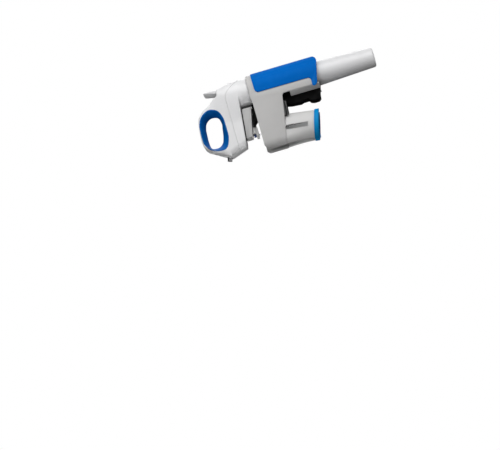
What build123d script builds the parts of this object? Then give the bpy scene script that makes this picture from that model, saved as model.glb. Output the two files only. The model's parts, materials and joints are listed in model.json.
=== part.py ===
from build123d import *
import math
import os

# Wine preservation dispenser: a needle head that slides on a two-arm bottle clamp.
# Frame: +Z up the needle line, spout side -Y, gas tube side +Y, X across.
# The origin is the middle of the bottle's mouth on the needle line. All in mm.

# ---- clearances ----
FIT = 0.06             # radial, where parts turn or slide in each other
SEAT = 0.3             # between faces that lie side by side
EASE = 0.6             # where parts pass without touching

# ---- gas tube, cup and capsule ----
TUBE_Y = 48.0          # tube axis behind the needle line
TUBE_R = 13.5
TUBE_WALL = 1.9
TUBE_TOP = 20.0
TUBE_LOW = -62.0       # end of the full-size tube, where its threaded end starts
TUBE_RIM = 2.0
THREAD_STEP = 1.6      # the threaded end is this much smaller in radius
THREAD_WALL = 1.3
THREAD_LONG = 14.0
CAPSULE_R = 8.9
CAPSULE_NECK_R = 3.6
CAPSULE_NECK_LONG = 11.6
CAPSULE_SHOULDER = 12.0
CUP_WALL = 1.5
CUP_FLOOR = 2.4
CUP_STRAIGHT = 15.7
CUP_END = -142.3
PAD_T = 2.0            # pad under the capsule

# ---- gas way inside the tube and the head ----
PIERCE_LONG = 16.0
SEAL_R, SEAL_T = 3.0, 1.2
PIN_POINT = 2.0
GAS_BORE = 0.8
PIPE_R, PIPE_BORE = 2.2, 1.3
REG_LOW, REG_BODY, REG_NOSE = 0.0, 10.0, 4.0
REG_NOSE_R = 8.0
STEM_R = 1.5
STEM_LONG = 11.2
STEM_DISC_R = 3.2
SPRING_R, SPRING_WIRE = 2.6, 0.35

# ---- clamp ----
NECK_TILT = 6.5        # the bottle's neck leans this far from the needle line, degrees
RING_R = 14.6          # inside radius of the neck ring, the bottle's neck there
RING_A = 59.6          # the ring starts this far along the neck line
RING_W = 5.2
RING_TILT = 8.0        # the ring's faces lean this far from square to the neck, degrees
RING_T = 3.2
GRIP_W = 3.4           # width of the ring's inner face that grips the neck
SLEEVE_T = 1.8
SLEEVE_FLARE = 1.2
SLOT_W, SLOT_LONG = 5.1, 24.0
TONGUE_T = 1.5
PANEL_T = 2.3
NOSE = 6.9             # the panels reach this far in front of the neck ring's radius
PAD_PROUD = 0.9        # the grip pads stand this far out of the panels
PAD_SINK = 0.5
SWING = 1.6            # room for the arms to swing in over the collar
BUSH_T = 1.5
COLLAR_T = 1.1
COLLAR_TOP, COLLAR_LOW = -4.0, -74.4
STOP_T = 3.9
KEEL_HALF = 8.0
PIN_R = 1.5
HINGE_Y = 25.0
HINGE_INSET = 4.2      # hinge pins inside the panels' inner face
LUG_R, EAR_R = 3.6, 3.3
LUG_T, EAR_T = 4.0, 3.6
HINGE_TOP, HINGE_LOW = -8.0, -33.0
HINGE_WIRE = 0.4

# ---- needle ----
NEEDLE_R = 0.8
NEEDLE_BORE = 0.45
NEEDLE_TIP = -56.0
HUB_R = 2.2
HUB_THREAD_R = 1.7
GUIDE_R = 4.4
BUSHING_R = 2.1

# ---- head ----
HEAD_W = 12.5          # half width of the handle
HEAD_EDGE = 2.6        # bevel of the handle's long edges
SEAM_Z = 27.0          # joint between lower housing and handle
SKIRT_BACK = 1.3       # the skirt's axis behind the tube's
SKIRT_R, SKIRT_TOP_R = 15.5, 16.8
SKIRT_LOW, SKIRT_STEP = 0.3, 10.0
BULGE_LOW, BULGE_TOP = 26.0, 37.0    # the handle's round back narrows between these
BULGE_END_R = 10.0
BLOCK_W = 9.5          # half width of the valve block
BLOCK_ROUND = 7.5
LINER_T = 1.3
SPOUT_R = 2.6          # free end
SPOUT_ROOT_R = 2.9     # inside the handle
SPOUT_ROOT, SPOUT_STEP, SPOUT_TIP = 6.0, 17.0, 20.6
SPOUT_BORE = 1.8
WINE_BORE = 1.2
SPOUT_RISE = 16.2      # degrees above the horizontal
SPOUT_Z = 35.7
TRIGGER_W, TRIGGER_ROOT_W = 9.0, 5.7
TRIGGER_EYE_R = 3.0

# ---- sizes that follow ----
COLLAR_R = TUBE_R + BUSH_T + COLLAR_T
INNER_W = max(COLLAR_R + EASE, RING_R + 2 * SEAT + TONGUE_T)
HALF_W = INNER_W + PANEL_T
FRONT_Y = -(RING_R + NOSE)
ARM_X = KEEL_HALF + 0.8
FRONT_X = 0.35 * RING_R        # the half sleeves and rings end here at the front
FRONT_FROM = -0.55 * RING_R
HINGE_X = INNER_W - HINGE_INSET
THREAD_R = TUBE_R - THREAD_STEP
THREAD_BORE = THREAD_R - THREAD_WALL
TUBE_BORE = TUBE_R - TUBE_WALL
CAPSULE_SEAT = TUBE_LOW + 2.0
SKIRT_Y = TUBE_Y + SKIRT_BACK
FAR = 200.0            # larger than the whole part, for cuts


# ---- helpers ----
LOW = (Align.CENTER, Align.CENTER, Align.MIN)


def box(x0, x1, y0, y1, z0, z1):
    return Pos((x0 + x1) / 2, (y0 + y1) / 2, (z0 + z1) / 2) * Box(x1 - x0, y1 - y0, z1 - z0)


def rod(x, y, z0, z1, r):
    return Pos(x, y, z0) * Cylinder(r, z1 - z0, align=LOW)


def cone(x, y, z0, z1, r0, r1):
    return Pos(x, y, z0) * Cone(r0, r1, z1 - z0, align=LOW)


def tube_rod(z0, z1, r):
    return rod(0, TUBE_Y, z0, z1, r)


def xrod(x0, x1, y, z, r):
    return Plane(origin=(x0, y, z), z_dir=(1, 0, 0)) * Cylinder(r, x1 - x0, align=LOW)


def outline(pts, rounds=()):
    """Face in the YZ plane from (y, z) points; rounds are (y, z, radius)."""
    face = make_face(Polyline(*pts, close=True))
    for y, z, r in rounds:
        corner = face.vertices().sort_by_distance((y, z, 0))[0]
        face = fillet(corner, r)
    return Plane.YZ * face


def side(pts, x0, x1, rounds=()):
    return Pos(x0, 0, 0) * extrude(outline(pts, rounds), x1 - x0, dir=(1, 0, 0))


def plan(pts, z0, z1):
    return Pos(0, 0, z0) * extrude(make_face(Polyline(*pts, close=True)), z1 - z0)


def other(shape):
    return mirror(shape, about=Plane.YZ)


def coil(x, y, z0, z1, r, wire, turns):
    height = z1 - z0 - 2 * wire
    path = Helix(pitch=height / turns, height=height, radius=r)
    section = Plane(path @ 0, z_dir=path % 0) * Circle(wire)
    return Pos(x, y, z0 + wire) * sweep(section, path=path)


# neck frame: local z runs down the leaning neck line, local y to the front, local x stays X
LEAN = math.radians(NECK_TILT)
NECK = Plane(origin=(0, 0, 0), x_dir=(1, 0, 0), z_dir=(0, -math.sin(LEAN), -math.cos(LEAN)))


def neck_cone(a0, a1, r0, r1):
    return NECK * Pos(0, 0, a0) * Cone(r0, r1, a1 - a0, align=LOW)


def neck_rod(a0, a1, r):
    return NECK * Pos(0, 0, a0) * Cylinder(r, a1 - a0, align=LOW)


def past(a):
    """All that lies beyond the slanted plane through the neck line's point a."""
    return NECK * Pos(0, 0, a) * Rot(-RING_TILT, 0, 0) * Pos(0, 0, FAR / 2) * Box(FAR, FAR, FAR)


# underside of the valve block, a slope
BLOCK_BACK_Y, BLOCK_BACK_Z, BLOCK_SLOPE = 30.4, 2.8, 0.2168


def block_z(y):
    return BLOCK_BACK_Z + (BLOCK_BACK_Y - y) * BLOCK_SLOPE


# ---- clamp arms ----
PANEL_EDGE = [(TUBE_Y + 22, -0.5), (FRONT_Y + 4, -0.5), (FRONT_Y - 0.1, -4.0), (FRONT_Y - 0.1, -24.5),
              (8.7, -30.3), (33.3, -34.4), (33.3, -69.2), (33.4, -72.6), (56.5, -78.4),
              (TUBE_Y + 14.6, -78.3), (TUBE_Y + 17.2, -76.2), (TUBE_Y + 19.0, -71.0), (TUBE_Y + 22, -66.0)]
PANEL_ROUNDS = [(33.3, -34.4, 3.2)]
PAD_EDGE = [(TUBE_Y + 22, -7.2), (41.6, -7.2), (41.4, -69.0), (32.4, -68.5), (30.9, -69.9), (31.5, -72.8),
            (34.4, -74.6), (56.5, -79.7), (TUBE_Y + 11.8, -80.1), (TUBE_Y + 15.2, -79.4),
            (TUBE_Y + 17.8, -77.7), (TUBE_Y + 19.4, -75.0), (TUBE_Y + 20.0, -71.6), (TUBE_Y + 22, -66.0)]
PAD_ROUNDS = [(41.6, -7.2, 3.0), (41.4, -69.0, 3.4), (34.4, -74.6, 3.0)]
FINGER_LIP = [(HALF_W - 0.2, 33.2), (HALF_W - 2.1, 34.4), (HALF_W - 5.6, 31.4), (HALF_W - 4.4, 29.6)]
FINGER_LIP_Z = (-76.6, -42.8)
PANEL_RIB = [(24.8, -33.4), (24.3, -35.9), (9.2, -34.9), (9.2, -32.0)]
PANEL_RIB_T = 3.2
RIB_LINK = [(24.8, -31.5), (24.3, -35.0), (9.2, -33.5), (9.2, -29.0)]
BACK_SPLIT, FRONT_SPLIT = 2.6, 10.0
UNDER_SLOPE = 0.1918


def stadium(hw, front, corner, back_r):
    """Plan of both arms: straight sides, rounded front corners and a round back."""
    z0, z1 = COLLAR_LOW - 8, 2
    x, y = hw - corner, front + corner
    return (box(-hw, hw, y, TUBE_Y, z0, z1) + box(-x, x, front, TUBE_Y, z0, z1)
            + rod(x, y, z0, z1, corner) + rod(-x, y, z0, z1, corner)
            + rod(0, TUBE_Y, z0, z1, back_r))


def grip_pad():
    ring = (stadium(HALF_W + PAD_PROUD, FRONT_Y, 9.0, HALF_W + PAD_PROUD)
            - stadium(HALF_W - PAD_SINK, FRONT_Y + 1, 8.0, HALF_W - PAD_SINK))
    return ring & side(PAD_EDGE, BACK_SPLIT + 0.2, FAR, PAD_ROUNDS)


def panel(pad):
    wall = (stadium(HALF_W, FRONT_Y, 9.0, HALF_W)
            - stadium(INNER_W, FRONT_Y + PANEL_T, 6.8, COLLAR_R + SWING))
    wall = wall & side(PANEL_EDGE, BACK_SPLIT, FAR, PANEL_ROUNDS)
    wall = wall - box(0, FRONT_SPLIT, FRONT_Y - 5, 0, -FAR, 5)
    wall = wall + plan(FINGER_LIP, *FINGER_LIP_Z)
    wall = wall + side(PANEL_RIB, INNER_W - PANEL_RIB_T, INNER_W + 1.0)
    wall = wall + side(RIB_LINK, INNER_W, INNER_W + 1.0)
    for z0, z1 in lug_places():
        wall = wall + rod(HINGE_X, HINGE_Y, z0, z1, LUG_R)
        wall = wall + box(HINGE_X, INNER_W + 0.3, HINGE_Y - LUG_R, HINGE_Y + LUG_R, z0, z1)
    wall = wall - rod(HINGE_X, HINGE_Y, -FAR / 2, 5, PIN_R + FIT) - pad
    for y, z in SCREWS:
        wall = wall - xrod(INNER_W - 0.9, INNER_W + SCREW_BITE, y, z, SCREW_R)
    return wall


def lug_places():
    top = HINGE_TOP - EAR_T - 0.4
    low = HINGE_LOW + EAR_T + 0.4
    return [(top - LUG_T, top), (low, low + LUG_T)]


def ear_places():
    return [(HINGE_TOP - EAR_T, HINGE_TOP), (HINGE_LOW, HINGE_LOW + EAR_T)]


# neck sleeve, its two screws to the panel, and its ring
SCREWS = [(-1.4, -12.5), (-2.3, -20.5)]
SCREW_R, SCREW_HEAD_R, SCREW_HEAD_T, SCREW_BITE = 1.0, 2.0, 0.9, 1.5
BOSS_R, BOSS_LONG = 2.8, 1.7
SLEEVE_TOP, TONGUE_TOP, TONGUE_LOW, TONGUE_X = 20.0, 9.0, 36.0, 10.4
UNDER_Z = -24.64


def half_span():
    """Room of one half of the sleeve and ring: it reaches further in at the front."""
    return box(ARM_X, FAR, -FAR, FAR, -FAR, 0) + box(FRONT_X, FAR, -FAR, FRONT_FROM, -FAR, 0)


def neck_shell():
    inner = RING_R + EASE
    reach = RING_A + RING_R
    flare = SLEEVE_FLARE / (RING_A - SLEEVE_TOP) * (reach - RING_A)
    top = inner + SLEEVE_FLARE
    sleeve = neck_cone(SLEEVE_TOP, reach, top + SLEEVE_T, inner + SLEEVE_T - flare)
    sleeve = sleeve - neck_cone(SLEEVE_TOP - 0.1, reach + 0.1, top, inner - flare) - past(RING_A)
    under = [(-FAR / 2, UNDER_Z + UNDER_SLOPE * (FAR / 2 - 21.6)),
             (FAR / 2, UNDER_Z - UNDER_SLOPE * (FAR / 2 + 21.6)), (FAR / 2, -FAR), (-FAR / 2, -FAR)]
    sleeve = sleeve & side(under, 0, FAR) & half_span()
    tongue = neck_rod(TONGUE_TOP, TONGUE_LOW, INNER_W - SEAT)
    tongue = tongue - neck_rod(TONGUE_TOP - 0.1, TONGUE_LOW + 0.1, RING_R)
    sleeve = sleeve + (tongue & box(TONGUE_X, FAR, -30, 30, -60, 5))
    for y, z in SCREWS:
        sleeve = sleeve + xrod(INNER_W - BOSS_LONG, INNER_W, y, z, BOSS_R)
    sleeve = sleeve - neck_rod(0, RING_A + RING_R, RING_R + SEAT)
    slot = NECK * Pos(RING_R, 1.5, 0) * Box(14, SLOT_W, FAR)
    sleeve = sleeve - (slot - past(RING_A - 6.6) & past(RING_A - 6.6 - SLOT_LONG))
    for y, z in SCREWS:
        sleeve = sleeve - screw(y, z)
    return sleeve


def screw(y, z):
    head = INNER_W - BOSS_LONG - 0.05
    return (xrod(head, head + SCREW_HEAD_T, y, z, SCREW_HEAD_R)
            + xrod(head, INNER_W + SCREW_BITE, y, z, SCREW_R)
            - Pos(head, y, z) * Box(0.8, 2.6, 0.6))


def neck_ring():
    band = neck_rod(RING_A - RING_R, RING_A + RING_R, RING_R + RING_T) - neck_rod(0, FAR, RING_R + 0.4)
    band = (band & past(RING_A)) - past(RING_A + RING_W)
    mid = RING_A + RING_W / 2
    grip = neck_rod(mid - GRIP_W / 2, mid + GRIP_W / 2, RING_R + EASE - 0.02)
    grip = grip - neck_rod(0, FAR, RING_R)
    return (band + grip) & half_span()


# ---- chassis ----
KEEL_EDGE = [(TUBE_Y - 4, COLLAR_TOP), (16.0, COLLAR_TOP), (16.0, -31.0), (22.9, -36.3), (21.9, -40.4),
             (20.9, -51.6), (21.9, -54.6), (22.0, -60.6), (19.6, -62.4), (18.5, -66.0), (18.6, -71.6),
             (20.6, -74.0), (26.2, -74.7), (35.4, -77.3), (40.0, -77.3), (TUBE_Y - 4, COLLAR_LOW)]
GUIDE_BACK = 8.6
BRIDGE_HALF = 7.0
BRIDGE_EDGE = [(27.5, -5.0), (27.2, block_z(27.2) - 1.1), (GUIDE_BACK, block_z(GUIDE_BACK) - 1.1),
               (GUIDE_BACK, 3.4), (12.6, 3.2), (15.4, 0.2), (16.0, -5.0)]


def chassis():
    body = side(KEEL_EDGE, -KEEL_HALF, KEEL_HALF) + tube_rod(COLLAR_LOW, COLLAR_TOP, COLLAR_R)
    body = body + side(BRIDGE_EDGE, -BRIDGE_HALF, BRIDGE_HALF)
    for z0, z1 in ear_places():
        ear = rod(HINGE_X, HINGE_Y, z0, z1, EAR_R)
        ear = ear + box(0, HINGE_X, HINGE_Y - EAR_R, HINGE_Y + EAR_R, z0, z1)
        body = body + ear + other(ear)
    body = body - tube_rod(-FAR, 0, TUBE_R + EASE)
    for z0, z1 in BUSHES:
        body = body - tube_rod(z0, z1, TUBE_R + BUSH_T)
    return body - hinge_pins()


BUSHES = [(-17.0, -5.5), (-72.0, -60.0)]


def bush(z0, z1):
    return tube_rod(z0, z1, TUBE_R + BUSH_T) - tube_rod(z0 - 1, z1 + 1, TUBE_R + FIT)


def stop_ring():
    body = tube_rod(COLLAR_TOP, COLLAR_TOP + STOP_T, COLLAR_R - 0.5)
    return body - tube_rod(-FAR, 5, TUBE_R + 0.4)


def hinge_pins():
    pin = rod(HINGE_X, HINGE_Y, HINGE_LOW - 0.5, HINGE_TOP + EASE, PIN_R)
    return pin + other(pin)


def clamp_springs():
    upper, lower = lug_places()
    radius = PIN_R + FIT + HINGE_WIRE + 0.44
    mid = (upper[0] + lower[1]) / 2
    half = (upper[0] - lower[1]) / 2 - EASE
    one = coil(HINGE_X, HINGE_Y, mid - half, mid + half, radius, HINGE_WIRE, 5)
    leg = xrod(KEEL_HALF, HINGE_X, HINGE_Y + radius, mid, HINGE_WIRE)
    return one + leg + other(one + leg)


# ---- needle guide ----
GUIDE_LOW, GUIDE_STEP = 2.6, 5.4


def needle_guide():
    plate = rod(0, 0, GUIDE_LOW, GUIDE_STEP, GUIDE_R)
    plate = plate + box(-GUIDE_R, GUIDE_R, 0, GUIDE_BACK, GUIDE_LOW, GUIDE_STEP)
    top = [(1.5, GUIDE_STEP), (GUIDE_BACK, GUIDE_STEP), (GUIDE_BACK, block_z(GUIDE_BACK) - EASE),
           (1.5, block_z(1.5) - EASE)]
    return plate + side(top, -GUIDE_R - 1, GUIDE_R + 1) - rod(0, 0, 0, 14, BUSHING_R)


def guide_bush():
    return rod(0, 0, GUIDE_LOW, 8.4, BUSHING_R) - rod(0, 0, 0, 14, NEEDLE_R + FIT)


# ---- head shells ----
SEAM = [(-40, SEAM_Z), (TUBE_Y - 2.0, SEAM_Z), (TUBE_Y + 2.4, SEAM_Z - 1.2), (TUBE_Y + 5.0, SEAM_Z - 3.4),
        (TUBE_Y + 8.7, SEAM_Z - 7.7), (TUBE_Y + 12.0, SEAM_Z - 12.4), (TUBE_Y + 16.0, SEAM_Z - 18.5),
        (TUBE_Y + 24.0, 0.0)]
LOWER_EDGE = [(-15.6, 30), (-13.4, 22.0), (-9.8, 19.4), (-6.6, 18.2), (34, 14.0), (TUBE_Y + 4, 14.0),
              (TUBE_Y + 4, 30)]
LOWER_ROUND = 5.0
HANDLE_EDGE = [(-15.5, SEAM_Z - 1), (-17.8, 33.0), (-18.1, 36.5), (-15.3, 43.1), (-11.4, 49.0), (-7.6, 55.0),
               (-2.8, 60.7), (1.0, 63.6), (5.0, 64.8), (12.2, 64.9), (19.0, 64.5), (25.6, 63.7),
               (33.1, 62.0), (38.0, 58.0), (41.3, 54.4), (45.2, 48.5), (TUBE_Y, 43.6),
               (TUBE_Y + 4.1, 36.4), (TUBE_Y + 8.0, 31.5), (TUBE_Y + 12.0, 29.8), (TUBE_Y + 13.2, 27.0),
               (TUBE_Y + 15.6, 22.0), (TUBE_Y + 18.0, 15.8), (TUBE_Y + 18.8, 8.0), (TUBE_Y + 18.8, 0.0)]

# finger loop: matching rings of (y, z) points at the faces and at the throat
LOOP_Y, LOOP_Z = 15.3, 49.0
LOOP_FACE = [(38.6, 49.0), (33.7, 57.6), (26.0, 61.6), (18.4, 62.4), (12.1, 62.6), (4.4, 62.2),
             (-3.6, 58.2), (-7.7, 49.0), (-5.8, 39.6), (4.1, 35.6), (12.1, 35.4), (18.4, 35.6),
             (26.0, 36.0), (35.2, 40.0)]
LOOP_THROAT = [(32.4, 49.0), (28.6, 55.0), (22.4, 57.4), (17.3, 57.9), (12.9, 58.1), (7.6, 58.2),
               (-0.4, 56.6), (-1.6, 49.0), (2.0, 43.8), (8.6, 41.4), (13.2, 40.6), (17.5, 40.0),
               (23.4, 39.2), (30.6, 41.4)]
MANIFOLD_EDGE = [(-12.0, 20.0), (8.0, 20.0), (8.0, 33.0), (1.0, 34.0), (-5.0, 41.8), (-12.0, 41.8)]
MANIFOLD_HALF = 4.2
PIVOT_Y, PIVOT_Z = TUBE_Y + 7.5, SEAM_Z - 2.5
TRIGGER_PAD = [(TUBE_Y + 8.9, 32.0), (TUBE_Y + 12.4, 32.0), (TUBE_Y + 13.0, 36.5), (TUBE_Y + 13.4, 42.3),
               (TUBE_Y + 13.3, 49.4), (TUBE_Y + 11.0, 49.7), (TUBE_Y + 7.2, 47.8), (TUBE_Y + 5.3, 38.4),
               (TUBE_Y + 8.4, 36.2)]
TRIGGER_ROOT = [(TUBE_Y + 12.3, 33.0), (TUBE_Y + 9.0, 36.0), (TUBE_Y + 8.4, 31.0),
                (TUBE_Y + 5.0, PIVOT_Z + 2.9), (TUBE_Y - 1.8, PIVOT_Z + 1.3), (TUBE_Y - 1.8, PIVOT_Z - 1.5),
                (TUBE_Y + 5.0, PIVOT_Z - 1.5), (TUBE_Y + 10.0, PIVOT_Z - 0.5)]
TRIGGER_ROOM = [(TUBE_Y + 16.0, 31.0), (TUBE_Y + 8.8, 31.4), (TUBE_Y + 2.6, 38.4), (TUBE_Y + 2.6, 60.0),
                (TUBE_Y + 16.0, 60.0)]

SLOT_BACK = [(TUBE_Y + 3.4, SEAM_Z - 1), (TUBE_Y + 13.6, SEAM_Z - 1), (TUBE_Y + 13.6, SEAM_Z + 17),
             (TUBE_Y + 3.4, SEAM_Z + 17)]


def under_seam():
    return side(SEAM + [(TUBE_Y + 24, -20), (-40, -20)], -FAR, FAR)


def over_seam():
    return side(SEAM + [(TUBE_Y + 24, 90), (-40, 90)], -FAR, FAR)


def loop_ring(pts, x, grow):
    moved = []
    for y, z in pts:
        d = math.hypot(y - LOOP_Y, z - LOOP_Z)
        moved.append((y + (y - LOOP_Y) / d * grow, z + (z - LOOP_Z) / d * grow))
    return Pos(x, 0, 0) * (Plane.YZ * make_face(Spline(*moved, periodic=True)))


def funnel(grow, half):
    near = loft([loop_ring(LOOP_THROAT, 0, grow), loop_ring(LOOP_FACE, half, grow)])
    return near + other(near)


def trigger_slot():
    half = TRIGGER_ROOT_W + 0.5
    low = box(-half, half, TUBE_Y - 4, TUBE_Y + 11.6, TUBE_TOP, SEAM_Z + 3)
    return low + side(SLOT_BACK, -half, half)


def pivot_rod(half, r):
    return xrod(-half, half, PIVOT_Y, PIVOT_Z, r)


def block_plan(grow, z0, z1):
    """Plan of the valve block: flat back, rounded front corners."""
    w, r = BLOCK_W + grow, BLOCK_ROUND + grow
    front = BLOCK_FRONT - grow
    back = BLOCK_BACK_Y + 0.3 + grow
    return (box(-w, w, front + r, back, z0, z1) + box(-w + r, w - r, front, back, z0, z1)
            + rod(w - r, front + r, z0, z1, r) + rod(-w + r, front + r, z0, z1, r))


BLOCK_FRONT = -3.0
BLOCK_TOP = 20.0
BLOCK_SCREWS = [(6.2, 25.0), (6.2, 13.0), (-6.2, 25.0), (-6.2, 13.0)]
BLOCK_SCREW_R, BLOCK_HEAD_R, BLOCK_HEAD_T = 1.3, 2.4, 1.8


def lower_line(y, drop):
    """Height of the lower housing's underside at y, less a drop."""
    return 14.0 + (34 - y) * (18.2 - 14.0) / (34 + 6.6) - drop


def lower_housing():
    w, r = HEAD_W, LOWER_ROUND
    front = -15.6
    body = side(LOWER_EDGE, -w, w)
    body = body & (box(-w, w, front + r, FAR, 0, 40) + box(-w + r, w - r, front - 2, 0, 0, 40)
                   + rod(w - r, front + r, 0, 40, r) + rod(-w + r, front + r, 0, 40, r))
    body = body + cone(0, SKIRT_Y, SKIRT_LOW, SKIRT_STEP, SKIRT_R, SKIRT_TOP_R)
    body = body + rod(0, SKIRT_Y, SKIRT_STEP, SEAM_Z + 3, SKIRT_TOP_R)
    body = (body & under_seam()) - tube_rod(-5, TUBE_TOP, TUBE_R)
    body = body - (block_plan(EASE, 2, BLOCK_TOP))
    body = body - side(MANIFOLD_EDGE, -MANIFOLD_HALF, MANIFOLD_HALF)
    for x, y in BLOCK_SCREWS:
        body = body - rod(x, y, BLOCK_TOP - 1, SEAM_Z - 3, BLOCK_SCREW_R)
    return body - trigger_slot() - pivot_rod(PIVOT_HALF, PIN_R)


PIVOT_HALF = 9.5


def handle():
    profile = HANDLE_EDGE + [(40, 0), (-10, 0)]
    flat = HEAD_W - HEAD_EDGE
    edge = extrude(Pos(flat, 0, 0) * outline(profile), HEAD_EDGE, dir=(1, 0, 0), taper=32)
    body = side(profile, -flat, flat) + edge + other(edge)
    bulge = cone(0, SKIRT_Y, BULGE_LOW, BULGE_TOP, SKIRT_TOP_R + 0.1, BULGE_END_R)
    bulge = bulge + rod(0, SKIRT_Y, 0, BULGE_LOW, SKIRT_TOP_R + 0.1)
    body = (body + (bulge & side(profile, -FAR, FAR))) & over_seam()
    body = body - funnel(LINER_T, HEAD_W) - side(MANIFOLD_EDGE, -MANIFOLD_HALF, MANIFOLD_HALF)
    body = body - spout_rod(SPOUT_ROOT, SPOUT_STEP, SPOUT_ROOT_R)
    body = body - spout_rod(SPOUT_STEP, SPOUT_TIP + 5, SPOUT_R + 1.0)
    body = body - trigger_slot() - pivot_rod(PIVOT_HALF, PIN_R)
    return body - side(TRIGGER_ROOM, -TRIGGER_W - EASE, TRIGGER_W + EASE) - tube_rod(-5, TUBE_TOP, TUBE_R)


def loop_liner():
    return funnel(LINER_T, HEAD_W) - funnel(0.0, HEAD_W + 0.01)


# ---- manifold and spout ----
RISE = math.radians(SPOUT_RISE)


def spout_rod(s0, s1, r):
    start = (0, -math.cos(RISE) * s0, SPOUT_Z + math.sin(RISE) * s0)
    return Plane(origin=start, z_dir=(0, -math.cos(RISE), math.sin(RISE))) * Cylinder(r, s1 - s0, align=LOW)


def manifold():
    body = side(MANIFOLD_EDGE, -MANIFOLD_HALF, MANIFOLD_HALF)
    body = body - spout_rod(SPOUT_ROOT, SPOUT_TIP + 4, SPOUT_ROOT_R)
    body = body - spout_rod(1.0, SPOUT_ROOT + 1, SPOUT_BORE)
    body = body - rod(0, 0, BLOCK_TOP - 1, SEAM_Z - 3, HUB_THREAD_R)
    body = body - rod(0, 0, SEAM_Z - 3, SEAM_Z - 2, HUB_THREAD_R + 0.4)
    return body - rod(0, 0, SEAM_Z - 3, SPOUT_Z - 0.7, WINE_BORE)


def spout():
    return (spout_rod(SPOUT_ROOT, SPOUT_STEP, SPOUT_ROOT_R) + spout_rod(SPOUT_ROOT, SPOUT_TIP, SPOUT_R)
            - spout_rod(SPOUT_ROOT - 1, SPOUT_TIP + 1, SPOUT_BORE))


# ---- valve block, needle and hub ----
def block_screw(x, y):
    z = block_z(y) + 1.2
    return (rod(x, y, z, z + BLOCK_HEAD_T, BLOCK_HEAD_R) + rod(x, y, z, SEAM_Z - 3, BLOCK_SCREW_R)
            - Pos(x, y, z) * Box(0.7, 3.2, 1.6))


def valve_block():
    far = FAR / 2
    under = side([(-far, block_z(-far)), (far, block_z(far)), (far, 60), (-far, 60)], -20, 20)
    shown = side([(-20, 0), (far, 0), (far, lower_line(far, 1.1)), (-20, lower_line(-20, 1.1))], -20, 20)
    body = block_plan(0, 0, BLOCK_TOP) & under & shown
    body = body + (block_plan(-1.8, 8, BLOCK_TOP) & under) - rod(0, 0, 0, 30, HUB_R)
    for x, y in BLOCK_SCREWS:
        z = block_z(y) + 1.2
        body = body - rod(x, y, -2, z + BLOCK_HEAD_T, BLOCK_HEAD_R) - rod(x, y, z, 30, BLOCK_SCREW_R)
    return body


def needle_hub():
    low = 9.1
    hub = rod(0, 0, low, BLOCK_TOP, HUB_R) + rod(0, 0, BLOCK_TOP, SEAM_Z - 3, HUB_THREAD_R)
    r = HUB_R + 0.25
    for k in range(8):
        a = math.radians(45 * k + 22.5)
        hub = hub - rod(r * math.cos(a), r * math.sin(a), low - 0.1, low + 2, 0.45)
    return hub - rod(0, 0, 5, 30, NEEDLE_R)


def needle():
    body = rod(0, 0, NEEDLE_TIP, 30, NEEDLE_R) - rod(0, 0, NEEDLE_TIP + 3, 31, NEEDLE_BORE)
    body = body - Pos(0, 0, NEEDLE_TIP) * Rot(-20, 0, 0) * Box(6, 6, 3)
    return body - Pos(0, -0.9, NEEDLE_TIP + 4.4) * Box(0.6, 1.6, 1.4)


def needle_seal():
    return rod(0, 0, SEAM_Z - 3, SEAM_Z - 2, HUB_THREAD_R + 0.4) - rod(0, 0, 20, 30, NEEDLE_R)


# ---- gas side inside the head and the tube ----
def slide_tube():
    body = tube_rod(TUBE_LOW, TUBE_TOP, TUBE_R) - tube_rod(TUBE_LOW - 1, TUBE_TOP + 1, TUBE_BORE)
    end = tube_rod(TUBE_LOW - THREAD_LONG, TUBE_LOW, THREAD_R)
    end = end + tube_rod(TUBE_LOW - TUBE_RIM, TUBE_LOW, TUBE_R)
    return body + (end - tube_rod(-FAR, 0, THREAD_BORE))


def pierce_block():
    seal_top = CAPSULE_SEAT + SEAL_T
    top = TUBE_LOW + PIERCE_LONG
    body = tube_rod(TUBE_LOW, top, TUBE_BORE) + tube_rod(TUBE_LOW - 6, TUBE_LOW, THREAD_BORE)
    body = body - tube_rod(-FAR, CAPSULE_SEAT, CAPSULE_NECK_R + FIT)
    body = body - tube_rod(CAPSULE_SEAT, seal_top, SEAL_R)
    return body - tube_rod(-FAR, top + 1, GAS_BORE) - tube_rod(seal_top, seal_top + 4.8, PIN_BODY_R)


PIN_BODY_R, PIN_BORE = 1.0, 0.4


def capsule_seal():
    return tube_rod(CAPSULE_SEAT, CAPSULE_SEAT + SEAL_T, SEAL_R) - tube_rod(-FAR, 0, PIN_BODY_R + 0.2)


def pierce_pin():
    low = CAPSULE_SEAT - 2.0
    body = tube_rod(low, CAPSULE_SEAT + SEAL_T + 4.8, PIN_BODY_R)
    body = body + cone(0, TUBE_Y, low - PIN_POINT, low, 0.2, PIN_BODY_R)
    return body - tube_rod(low - 0.4, 0, PIN_BORE)


def gas_pipe():
    return tube_rod(TUBE_LOW + PIERCE_LONG, REG_LOW, PIPE_R) - tube_rod(-FAR, FAR, PIPE_BORE)


def regulator_body():
    top = REG_LOW + REG_BODY
    body = tube_rod(REG_LOW, top, TUBE_BORE) + tube_rod(top, top + REG_NOSE, REG_NOSE_R)
    return body - tube_rod(top - 2, FAR, STEM_R + FIT) - tube_rod(-FAR, top - 2, GAS_BORE)


def valve_stem():
    low = REG_LOW + REG_BODY
    top = low + STEM_LONG
    body = tube_rod(low, top, STEM_R) + tube_rod(top - 1.2, top - 0.4, STEM_DISC_R)
    return body + Pos(0, TUBE_Y, top) * Sphere(STEM_R)


def valve_spring():
    low = REG_LOW + REG_BODY + REG_NOSE
    return coil(0, TUBE_Y, low, REG_LOW + REG_BODY + STEM_LONG - 1.2, SPRING_R, SPRING_WIRE, 4)


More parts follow.
